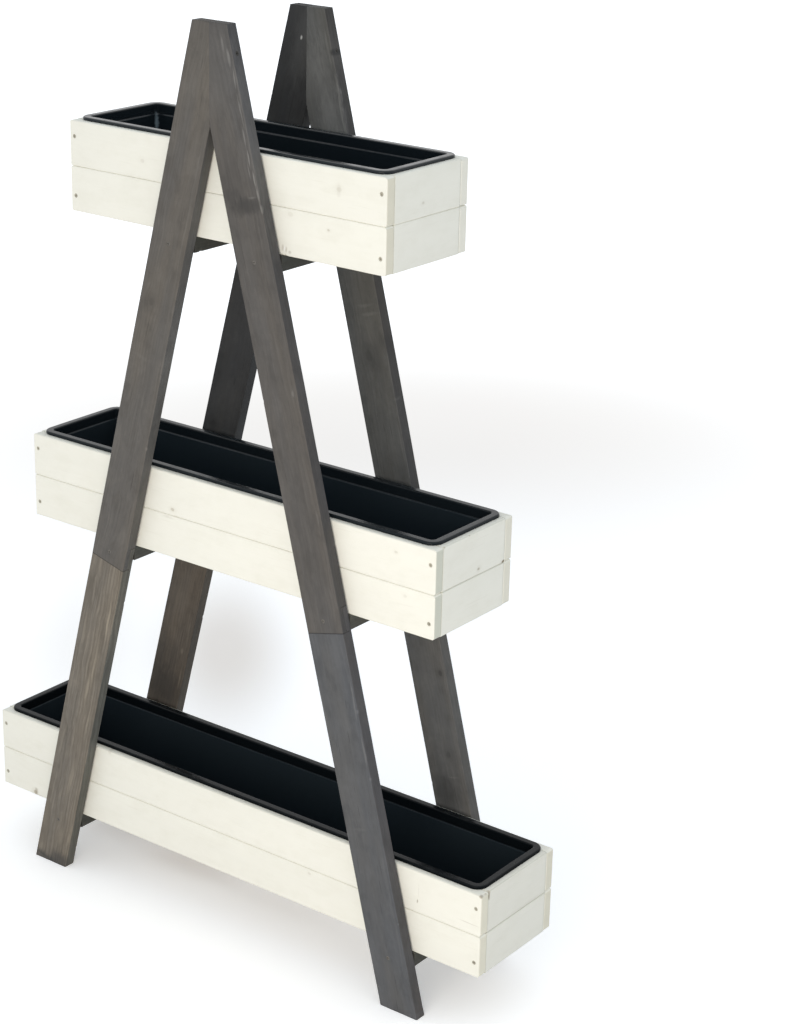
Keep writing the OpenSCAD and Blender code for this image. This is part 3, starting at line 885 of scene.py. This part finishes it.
def build_moulded_skin():
    """The faint orange peel, flow lines and dust of moulded plastic, and how much it faces up."""
    tree, given, out = new_group("moulded_skin", {}, ("Peel", "Scuffs", "Dust", "Upwards"))
    spot = given["Vector"]
    peel = grain_noise(tree, spot, (900, 900, 900))
    slow = grain_noise(tree, spot, (40, 40, 160))
    scuffs = grain_noise(tree, spot, (60, 700, 300), detail=3.0, roughness=0.6)
    normal = place(tree, "NewGeometry").outputs["Normal"]
    upwards = ramp(tree, split(tree, normal)["Z"], 0.3, 0.95)
    patches = grain_noise(tree, spot, (25, 25, 25), detail=4.0, roughness=0.7)
    masks = {
        "Peel": maths(tree, "MULTIPLY_ADD", slow, 1.5, peel),
        "Scuffs": ramp(tree, scuffs, 0.62, 0.75),
        "Dust": times(tree, upwards, ramp(tree, patches, 0.4, 0.75)),
        "Upwards": upwards,
    }
    feed(tree, out, masks)


# ---- Materials ----

# From what half length a timber has a knot for certain
LONG_HALF = 150 * MM
# How far a timber's grain stands out, and how wide its edges are rubbed
GRAIN_RELIEF = 0.3 * MM
RUBBED_REACH = 1.6 * MM
# How deep a patch on a timber's front reaches, and how deep one on its narrow faces
FRONT_PATCH_DEPTH = 9 * MM
SIDE_PATCH_DEPTH = 1.0
# How glossy paint and stain are
WOOD_GLOSS = 0.15

# How much painted shade lies in the grooves of each box, along its front and round its ends
FRONT_GROOVE_SHADES = {"top": 0.0, "middle": 0.15, "bottom": 0.3}
END_GROOVE_SHADES = {"top": 0.0, "middle": 0.5, "bottom": 0.6}
# The end grain of each box's front boards, as shares of red, green and blue, and how much that of its
# rear boards shows
END_GRAIN = {
    "top": (WHITE, 0.2),
    "middle": ((0.86, 0.91, 0.94), 0.6),
    "bottom": ((1.06, 1.06, 1.06), 1.0),
}

# How the stain turns where it lies warm and where it lies cool, as shares of red, green and blue
WARM_STAIN = (1.09, 1.04, 0.97)
COOL_STAIN = (0.91, 0.95, 1.02)

# A liner's plastic: how light it is, how light it is below the ledge, how glossy its walls are and how
# glossy the top of its rim is. The liners are one plastic; their tones differ by tier as painted light
# and shade, and the lighter tone below the ledge is painted light
Plastic = namedtuple("Plastic", "tone inside gloss rim")
PLASTICS = {
    "top": Plastic(1.2, 1.5, 0.55, 1.0),
    "middle": Plastic(1.0, 2.15, 0.33, 0.3),
    "bottom": Plastic(0.45, 1.85, 0.11, 0.15),
}
# How much of the walls' gloss is left on the rim's outer face and on the ledge
RIM_SHADE = 0.4
LEDGE_SHADE = 0.3
# A painted highlight in the top liner's rear left corner: its place and its reach
CORNER_HIGHLIGHT = (Vector((-277, 70, 1247)) * MM, Vector((5, 5, 16)) * MM)
CORNER_HIGHLIGHT_COLOUR = srgb(160, 176, 184)
DUST_COLOUR = srgb(120, 122, 124)

# How dark the stain makes the apex screws
APEX_SCREW_TONE = 0.22


def new_material(name):
    """A material's node tree and its Principled BSDF."""
    made = bpy.data.materials.new(name)
    made.use_nodes = True
    return made, made.node_tree, made.node_tree.nodes["Principled BSDF"]


def scaled(base, factor):
    """A colour made lighter or darker by a factor."""
    return tuple(min(1.0, part * factor) for part in base)


def tinted(base, shares):
    """A colour's red, green and blue, each times a share."""
    return tuple(part * share for part, share in zip(base, shares))


def own_coordinates(tree, timber):
    """A timber's own coordinates, with its grain along X."""
    inputs = {"Vector": object_spot(tree), "Location": timber.centre, "Rotation": timber.turn}
    return place(tree, "Mapping", inputs, vector_type="TEXTURE").outputs["Vector"]


def bench_knots(timber):
    """The knots of a timber: those that show from the front, or else up to three of its own."""
    if timber.node in SHOWN_KNOTS:
        return [Knot(*row) for row in SHOWN_KNOTS[timber.node]]
    chance = random.Random(timber.node + " knots")
    count = chance.choice((1, 2, 2, 3)) if timber.half.x > LONG_HALF else chance.choice((0, 1))
    return [
        Knot(
            chance.uniform(-0.85, 0.85) * timber.half.x / MM,
            chance.uniform(-0.7, 0.7) * timber.half.z / MM,
            chance.uniform(3, 7),
            chance.uniform(0.3, 0.8),
        )
        for _ in range(count)
    ]


def timber_masks(tree, timber, spacing, wander):
    """All the masks that a timber's finish is made of, by name."""
    chance = random.Random(timber.node + " grain")
    plain = vector = own_coordinates(tree, timber)
    eye = halo = 0.0
    for knot in bench_knots(timber):
        spot = Vector((knot.along, 0, knot.across)) * MM
        made = use_group(
            tree, "timber_knot", vector=vector, place=spot, size=knot.size * MM, strength=knot.strength
        )
        vector = made["Vector"]
        eye = maths(tree, "MAXIMUM", eye, made["Eye"])
        halo = maths(tree, "MAXIMUM", halo, made["Halo"])
    grain = use_group(
        tree,
        "timber_grain",
        vector=vector,
        pith=(0, chance.uniform(-0.06, -0.02), chance.uniform(-0.03, 0.03)),
        ring_spacing=spacing * chance.uniform(0.85, 1.2),
        wander=wander,
        seed=chance.uniform(0, 20),
    )
    axes = timber.turn.to_matrix()
    edges = use_group(
        tree,
        "timber_edges",
        vector=plain,
        half_size=timber.half,
        reach=RUBBED_REACH,
        grain_direction=axes @ Vector((1, 0, 0)),
        across_direction=axes @ Vector((0, 0, 1)),
    )
    marks = use_group(tree, "handling", vector=plain, seed=chance.uniform(0, 20))
    masks = {name.lower(): mask for group in (grain, edges, marks) for name, mask in group.items()}
    masks["eye"] = eye
    masks["halo"] = halo
    masks["mottle"] = grain_noise(tree, plain, (24, 42, 42), detail=4.0, roughness=0.65)
    masks["bare"] = attribute(tree, "bare")
    masks["joint"] = attribute(tree, "joint")
    return masks


def grain_bump(tree, masks, surface, strength):
    """Raises the fibres and rings a little, and sinks the checks."""
    height = maths(tree, "MULTIPLY_ADD", masks["rings"], 0.5, masks["fibres"])
    height = maths(tree, "MULTIPLY_ADD", masks["checks"], -1.0, height)
    bumped(tree, surface, height, strength, GRAIN_RELIEF)


def patched(tree, timber, masks, tone, lighter, darker):
    """A tone with a timber's patches laid over it, each a share of the lighter or the darker colour."""
    for row in SHOWN_PATCHES.get(timber.node, []):
        patch = Patch(*row)
        on_front = abs(patch.across * MM) < timber.half.z
        depth = FRONT_PATCH_DEPTH if on_front else SIDE_PATCH_DEPTH
        mask = use_group(
            tree,
            "soft_patch",
            vector=masks["rippled"],
            place=(patch.along * MM, -timber.half.y, patch.across * MM),
            reach=(patch.length / 2 * MM, depth, patch.width / 2 * MM),
        )["Mask"]
        above = lighter if patch.tone > 0 else darker
        tone = laid_over(tree, tone, [(mask, abs(patch.tone), above)])
    return tone


def painted_wood(timber):
    """Thin cream paint: faint grain and knots, sunken end grain, rubbed edges, knocked spots and painted
    shade.
    """
    finish = bpy.context.scene.plant_stand_finish
    made, tree, surface = new_material(timber.node + "_cream_paint")
    masks = timber_masks(tree, timber, spacing=5 * MM, wander=8 * MM)
    tier, wall = timber.node.split("_")[:2]
    front_tone, rear_share = END_GRAIN[tier]
    end_share = rear_share if wall == "rear" else 1.0
    end_tone = tinted(finish.paint_end, front_tone if wall == "front" else WHITE)
    groove_shade_share = (FRONT_GROOVE_SHADES if wall == "front" else END_GROOVE_SHADES)[tier]
    tone = blend(tree, ramp(tree, masks["clouds"], 0.3, 0.7), scaled(finish.paint, 0.975), finish.paint)
    end = blend(tree, ramp(tree, masks["mottle"], 0.35, 0.65), scaled(end_tone, 0.97), end_tone)
    uneven_groove_shade = times(tree, masks["groove"], ramp(tree, masks["mottle"], 0.25, 0.6, 0.6, 1.0))
    side_joint = times(tree, masks["joint"], maths(tree, "SUBTRACT", 1.0, masks["end"]))
    layers = (
        (masks["rings"], 0.03, finish.paint_shade),
        (masks["smudges"], 0.12, finish.paint_shade),
        (masks["checks"], 0.06, finish.paint_knot),
        (masks["halo"], 0.14, finish.paint_knot),
        (masks["eye"], 0.75, finish.paint_knot),
        (ramp(tree, masks["mottle"], 0.55, 0.3), 0.14, finish.paint_shade),
        (masks["end"], end_share, end),
        # Partly worn paint, partly painted shade that keeps the board's outline from washing out
        (masks["edge"], 0.2, finish.paint_shade),
        # Painted shade in the grooves between the boards and along their long edges
        (uneven_groove_shade, groove_shade_share, finish.paint_groove),
        (side_joint, 0.3, finish.paint_groove),
        (masks["specks"], 0.06, finish.paint_knot),
        (masks["bare"], 0.6, finish.paint_knot),
    )
    tone = laid_over(tree, tone, layers)
    # The broad dark patches on the bottom box's right end boards are painted shade
    tone = patched(tree, timber, masks, tone, WHITE, scaled(finish.bare_wood, 0.7))
    rough = maths(tree, "MULTIPLY_ADD", masks["clouds"], 0.18, 0.52)
    feed(tree, surface, {"Base Color": tone, "Roughness": rough, "Specular IOR Level": WOOD_GLOSS})
    grain_bump(tree, masks, surface, strength=0.08)
    return made


def stained_wood(timber, stain, coat):
    """Translucent stain: streaky fibres, darker late wood, dark knots and checks, pale rubbed edges."""
    finish = bpy.context.scene.plant_stand_finish
    made, tree, surface = new_material(timber.node + "_stain")
    masks = timber_masks(tree, timber, spacing=4.2 * MM, wander=14 * MM)
    cool, warm = tinted(stain, COOL_STAIN), tinted(stain, WARM_STAIN)
    tone = blend(tree, ramp(tree, masks["clouds"], 0.32, 0.68), cool, warm)
    tone = blend(tree, 0.35, tone, stain)
    # Each is a mask, its share and how light it leaves the stain, below the patches and above them
    below = (
        (ramp(tree, masks["mottle"], 0.50, 0.32), 0.5, 0.72),
        (ramp(tree, masks["mottle"], 0.50, 0.68), 0.4, 1.32),
        (ramp(tree, masks["fibres"], 0.48, 0.7), coat.streaks, 1.5),
        (ramp(tree, masks["fibres"], 0.5, 0.3), 0.8 * coat.streaks, 0.6),
        (masks["rings"], 0.7 * coat.streaks, 0.62),
        (masks["smudges"], 0.25, 0.8),
        (masks["checks"], 0.4, 0.35),
        (masks["halo"], 0.5, 0.62),
        (masks["eye"], 0.75, 0.3),
        (masks["end"], 0.7, 0.55),
    )
    above = ((masks["edge"], 0.15, 1.7), (masks["bare"], 0.4, 1.9), (masks["joint"], 0.75, 0.3))
    tone = laid_over(tree, tone, [(mask, share, scaled(stain, light)) for mask, share, light in below])
    # The narrow faces' tone is partly the stain and partly painted shade
    tone = blend(tree, masks["narrow"], tone, coat.side, way="MULTIPLY")
    dull = (sum(stain) / 3,) * 3
    # The pale patches are partly rubbed stain and partly painted highlight and light
    tone = patched(tree, timber, masks, tone, getattr(finish, coat.rubbed), scaled(dull, 0.35))
    tone = laid_over(tree, tone, [(mask, share, scaled(stain, light)) for mask, share, light in above])
    rough = maths(tree, "MULTIPLY_ADD", masks["fibres"], 0.25, 0.5)
    feed(tree, surface, {"Base Color": tone, "Roughness": rough, "Specular IOR Level": WOOD_GLOSS})
    grain_bump(tree, masks, surface, strength=0.2)
    return made


def sawn_wood(timber):
    """Bare sawn softwood, with open grain and brown knots."""
    finish = bpy.context.scene.plant_stand_finish
    made, tree, surface = new_material(timber.node + "_bare_wood")
    masks = timber_masks(tree, timber, spacing=4 * MM, wander=10 * MM)
    wood = finish.slat_wood
    tone = blend(tree, ramp(tree, masks["clouds"], 0.3, 0.7), scaled(wood, 0.88), wood)
    layers = (
        (masks["rings"], 0.5, scaled(wood, 0.62)),
        (ramp(tree, masks["fibres"], 0.55, 0.3), 0.4, scaled(wood, 0.7)),
        (masks["halo"], 0.5, finish.bare_wood),
        (masks["eye"], 0.9, scaled(finish.bare_wood, 0.3)),
        (masks["end"], 0.6, scaled(wood, 0.6)),
    )
    feed(tree, surface, {"Base Color": laid_over(tree, tone, layers), "Roughness": 0.75})
    grain_bump(tree, masks, surface, strength=0.5)
    return made


def plastic_gloss(tree, plastic, inside, upwards):
    """The plastic's gloss: most on top of the rim, less on its outer face and on the ledge."""
    ledge = times(tree, inside, upwards)
    walls = ramp(tree, ledge, 0.0, 1.0, plastic.gloss, plastic.gloss * LEDGE_SHADE)
    rim = ramp(tree, upwards, 0.0, 1.0, plastic.gloss * RIM_SHADE, plastic.rim)
    return ramp(tree, attribute(tree, "rim"), 0.0, 1.0, walls, rim)


def black_plastic(tier):
    """Black moulded plastic with a soft sheen, a little peel and settled dust, duller inside."""
    liner = bpy.context.scene.plant_stand_finish.liner
    made, tree, surface = new_material(tier + "_black_plastic")
    plastic = PLASTICS[tier]
    base = scaled(liner, plastic.tone)
    spot = object_spot(tree)
    skin = use_group(tree, "moulded_skin", vector=spot)
    inside = attribute(tree, "inside")
    # Painted light: the plastic below the ledge is made lighter than above it
    tone = blend(tree, inside, base, scaled(liner, plastic.inside))
    layers = [(skin["Scuffs"], 0.2, scaled(base, 2)), (skin["Dust"], 0.06, DUST_COLOUR)]
    # A painted highlight down the top liner's rear left corner
    if tier == "top":
        centre, reach = CORNER_HIGHLIGHT
        corner_highlight = use_group(tree, "soft_patch", vector=spot, place=centre, reach=reach)["Mask"]
        layers.append((corner_highlight, 0.6, CORNER_HIGHLIGHT_COLOUR))
    values = {
        "Base Color": laid_over(tree, tone, layers),
        "Roughness": maths(tree, "MULTIPLY_ADD", skin["Dust"], 0.2, 0.2),
        "IOR": 1.45,
        "Specular IOR Level": plastic_gloss(tree, plastic, inside, skin["Upwards"]),
    }
    feed(tree, surface, values)
    bumped(tree, surface, skin["Peel"], strength=0.12, distance=0.1 * MM)
    return made


def dulled_steel(name, base, metal):
    """Zinced steel gone dull, with paint or stain caught in its drive."""
    made, tree, surface = new_material(name)
    spot = object_spot(tree)
    marks = use_group(tree, "handling", vector=spot, seed=3.0)
    grit = grain_noise(tree, spot, (700, 700, 700), detail=3.0)
    tone = blend(tree, ramp(tree, grit, 0.4, 0.7), scaled(base, 0.6), base)
    values = {
        "Base Color": laid_over(tree, tone, [(marks["Smudges"], 0.5, scaled(base, 0.4))]),
        "Metallic": metal,
        "Roughness": maths(tree, "MULTIPLY_ADD", grit, 0.3, 0.35),
    }
    feed(tree, surface, values)
    return made


# ---- Stage ----

# Half the floor's width, and the ring round the stand in which it grows lighter to the camera
FLOOR_REACH = 14
NEAR_FLOOR, FAR_FLOOR = 1.0, 3.5
# What the lamp looks at, and the width of the camera's sensor in millimetres
LAMP_AIM = Vector((0, 0, 0.6))
SENSOR = 36

# A painted shadow that the camera sees on the floor: its middle and turn, its half length and half
# width, and how grey it is
PaintedFloorShadow = namedtuple("PaintedFloorShadow", "x y turn length width share")
# The first three are painted shadows on the backdrop, the last three painted shadow under the bottom box
PAINTED_FLOOR_SHADOWS = (
    PaintedFloorShadow(-0.73, 0.74, -49, 0.56, 0.20, 0.31),
    PaintedFloorShadow(-0.98, 0.60, -49, 0.60, 0.20, 0.12),
    PaintedFloorShadow(-1.35, 2.15, 41, 2.3, 1.4, 0.27),
    PaintedFloorShadow(-0.20, 0.04, 0, 0.17, 0.08, 0.20),
    PaintedFloorShadow(-0.02, 0.03, 0, 0.28, 0.06, 0.10),
    PaintedFloorShadow(-0.38, 0.04, 0, 0.13, 0.06, 0.13),
)
# How much more of its blue, and less of its red, a painted shadow takes
SHADOW_WARMTH = 0.12


def seen_share(tree):
    """One for what the camera, a gloss or a glass shows, and nothing for soft light."""
    path = place(tree, "LightPath").outputs
    seen = maths(tree, "MAXIMUM", path["Is Camera Ray"], path["Is Glossy Ray"])
    return maths(tree, "MAXIMUM", seen, path["Is Transmission Ray"])


def with_painted_shadows(tree, spot):
    """The colour that the painted shadows leave the floor, white elsewhere."""
    kept = WHITE
    for painted_shadow in PAINTED_FLOOR_SHADOWS:
        inputs = {
            "Vector": spot,
            "Location": (painted_shadow.x, painted_shadow.y, 0),
            "Rotation": (0, 0, math.radians(painted_shadow.turn)),
            "Scale": (painted_shadow.length, painted_shadow.width, 1),
        }
        own = place(tree, "Mapping", inputs, vector_type="TEXTURE").outputs["Vector"]
        mask = ramp(tree, vectors(tree, "LENGTH", own), 0.1, 1.0, 1.0, 0.0)
        grey = tuple(1 - painted_shadow.share * (1 + way * SHADOW_WARMTH) for way in (-1, 0, 1))
        kept = blend(tree, mask, kept, blend(tree, 1.0, kept, grey, way="MULTIPLY"))
    return kept


def floor_finish(studio):
    """White that the camera sees a little brighter than it lights, with the painted shadows."""
    made, tree, surface = new_material("studio_floor")
    tree.nodes.remove(surface)
    spot = object_spot(tree)
    distance = vectors(tree, "LENGTH", spot)
    far = ramp(tree, distance, NEAR_FLOOR, FAR_FLOOR, studio.floor_lift, studio.far_lift)
    mottle = grain_noise(tree, spot, (3, 3, 3), detail=3.0)
    white = blend(tree, mottle, scaled(studio.floor_white, 0.985), studio.floor_white)
    seen = seen_share(tree)
    kept = with_painted_shadows(tree, spot)
    shown = blend(tree, 1.0, kept, studio.floor_seen, way="MULTIPLY")
    matt = place(tree, "BsdfDiffuse", {"Color": blend(tree, seen, white, shown)})
    glow = place(tree, "Emission", {"Color": kept, "Strength": times(tree, far, seen)})
    both = place(tree, "AddShader", {0: matt.outputs[0], 1: glow.outputs[0]})
    feed(tree, tree.nodes["Material Output"], {"Surface": both.outputs[0]})
    return made


def studio_floor(studio):
    """A white floor that keeps the stand's shadow and runs out into the white background."""
    bm = bmesh.new()
    bmesh.ops.create_grid(bm, x_segments=8, y_segments=8, size=FLOOR_REACH)
    mesh = bpy.data.meshes.new("studio_floor")
    bm.to_mesh(mesh)
    bm.free()
    add_object("studio_floor", mesh)
    mesh.materials.append(floor_finish(studio))


def studio_sky(studio):
    """Even light from all round, which the camera sees as white."""
    world = bpy.data.worlds.new("studio_sky")
    bpy.context.scene.world = world
    world.use_nodes = True
    tree = world.node_tree
    lit = scaled(studio.sky_colour, studio.sky)
    feed(tree, tree.nodes["Background"], {"Color": blend(tree, seen_share(tree), lit, WHITE)})


def studio_lamp(studio):
    """A large soft lamp in front and above."""
    lamp = bpy.data.lights.new("key_lamp", "AREA")
    lamp.shape = "SQUARE"
    lamp.size = studio.key_size
    lamp.energy = studio.key_power
    lamp.color = studio.key_colour
    made = add_object("key_lamp", lamp)
    made.location = Vector(studio.key_place)
    made.rotation_euler = (LAMP_AIM - made.location).to_track_quat("-Z", "Y").to_euler()
    made.visible_camera = False


def studio_camera(studio):
    """The camera, at the photograph's place."""
    camera = bpy.data.cameras.new("camera")
    camera.lens = studio.focal_length
    camera.sensor_width = SENSOR
    made = add_object("camera", camera)
    made.location = studio.camera_place
    made.rotation_euler = studio.camera_turn
    bpy.context.scene.camera = made


# ---- Operators ----


class PLANTSTAND_OT_shared_effects(bpy.types.Operator):
    """Build the effects that several materials share"""

    bl_idname = "plant_stand.shared_effects"
    bl_label = "Shared Effects"

    def execute(self, context):
        build_grain()
        build_knot()
        build_patch()
        build_edges()
        build_smudges()
        build_moulded_skin()
        return {"FINISHED"}


class PLANTSTAND_OT_legs(bpy.types.Operator):
    """Make the eight leg lengths, each with its own stain"""

    bl_idname = "plant_stand.legs"
    bl_label = "Leg Lengths"

    def execute(self, context):
        finish = context.scene.plant_stand_finish
        for leg, coat in LEG_COATS.items():
            timber = leg_timber(leg + "_leg")
            worn_timber(timber, stained_wood(timber, tuple(getattr(finish, leg)), coat))
        return {"FINISHED"}


class PLANTSTAND_OT_bearers(bpy.types.Operator):
    """Make the six bearers"""

    bl_idname = "plant_stand.bearers"
    bl_label = "Bearers"

    def execute(self, context):
        for tier in TIERS:
            stain = scaled(context.scene.plant_stand_finish.bearers, BEARER_TONES[tier])
            for side in SIDES:
                timber = straight_timber(f"{tier}_{side}_bearer", ALONG_Y_FLAT)
                worn_timber(timber, stained_wood(timber, stain, BEARER_COAT))
        return {"FINISHED"}


class PLANTSTAND_OT_boards(bpy.types.Operator):
    """Make the boards of the three boxes"""

    bl_idname = "plant_stand.boards"
    bl_label = "Box Boards"

    def execute(self, context):
        turns = {"front": ALONG_X, "rear": ALONG_X, "left": ALONG_Y, "right": ALONG_Y}
        for tier in TIERS:
            for level in LEVELS:
                for wall, turn in turns.items():
                    timber = straight_timber(f"{tier}_{wall}_{level}_board", turn)
                    worn_timber(timber, painted_wood(timber), painted=True)
        return {"FINISHED"}


class PLANTSTAND_OT_slats(bpy.types.Operator):
    """Make the floor slats under the liners"""

    bl_idname = "plant_stand.slats"
    bl_label = "Floor Slats"

    def execute(self, context):
        for tier in TIERS:
            for face in FACES:
                timber = straight_timber(f"{tier}_{face}_slat", ALONG_X_FLAT)
                worn_timber(timber, sawn_wood(timber))
        return {"FINISHED"}


class PLANTSTAND_OT_liners(bpy.types.Operator):
    """Make the three moulded liners"""

    bl_idname = "plant_stand.liners"
    bl_label = "Liners"

    def execute(self, context):
        for tier in TIERS:
            moulded_liner(tier, black_plastic(tier))
        return {"FINISHED"}


class PLANTSTAND_OT_screws(bpy.types.Operator):
    """Finish the screws of the boxes and the frames"""

    bl_idname = "plant_stand.screws"
    bl_label = "Screws"

    def execute(self, context):
        finish = context.scene.plant_stand_finish
        in_boxes = dulled_steel("box_screw_steel", tuple(finish.box_screws), metal=0.3)
        in_frames = dulled_steel("frame_screw_steel", tuple(finish.frame_screws), metal=0.1)
        stained = scaled(finish.frame_screws, APEX_SCREW_TONE)
        at_apex = dulled_steel("apex_screw_steel", stained, metal=0.1)
        finishes = {"apex_screws": at_apex}
        for tier in TIERS:
            finishes[tier + "_corner_screws"] = in_boxes
            finishes[tier + "_fixing_screws"] = in_boxes
            finishes[tier + "_bearer_screws"] = in_frames
        for node, material in finishes.items():
            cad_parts[node].material_slots[0].material = material
        return {"FINISHED"}


class PLANTSTAND_OT_stage(bpy.types.Operator):
    """Make the floor, the light and the camera"""

    bl_idname = "plant_stand.stage"
    bl_label = "Stage"

    def execute(self, context):
        studio = context.scene.plant_stand_studio
        studio_floor(studio)
        studio_sky(studio)
        studio_lamp(studio)
        studio_camera(studio)
        context.scene.view_settings.view_transform = "Standard"
        return {"FINISHED"}


class PLANTSTAND_PT_pieces(bpy.types.Panel):
    """Lists the pieces of the plant stand"""

    bl_label = "Plant Stand"
    bl_space_type = "VIEW_3D"
    bl_region_type = "UI"
    bl_category = "Plant Stand"

    def draw(self, context):
        for operator in OPERATORS:
            self.layout.operator(operator.bl_idname)


OPERATORS = (
    PLANTSTAND_OT_shared_effects,
    PLANTSTAND_OT_legs,
    PLANTSTAND_OT_bearers,
    PLANTSTAND_OT_boards,
    PLANTSTAND_OT_slats,
    PLANTSTAND_OT_liners,
    PLANTSTAND_OT_screws,
    PLANTSTAND_OT_stage,
)
SETTINGS = {
    "plant_stand_timber": PlantStandTimberSettings,
    "plant_stand_liners": PlantStandLinerSettings,
    "plant_stand_finish": PlantStandFinishSettings,
    "plant_stand_studio": PlantStandStudioSettings,
}
CLASSES = (*SETTINGS.values(), *OPERATORS, PLANTSTAND_PT_pieces)


def register():
    for made in CLASSES:
        bpy.utils.register_class(made)
    for name, group in SETTINGS.items():
        setattr(bpy.types.Scene, name, PointerProperty(type=group))


def unregister():
    for name in SETTINGS:
        delattr(bpy.types.Scene, name)
    for made in reversed(CLASSES):
        bpy.utils.unregister_class(made)


def main():
    """Makes every piece and the stage."""
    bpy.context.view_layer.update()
    register()
    bpy.ops.plant_stand.shared_effects()
    bpy.ops.plant_stand.legs()
    bpy.ops.plant_stand.bearers()
    bpy.ops.plant_stand.boards()
    bpy.ops.plant_stand.slats()
    bpy.ops.plant_stand.liners()
    bpy.ops.plant_stand.screws()
    bpy.ops.plant_stand.stage()


if __name__ == "__main__":
    main()
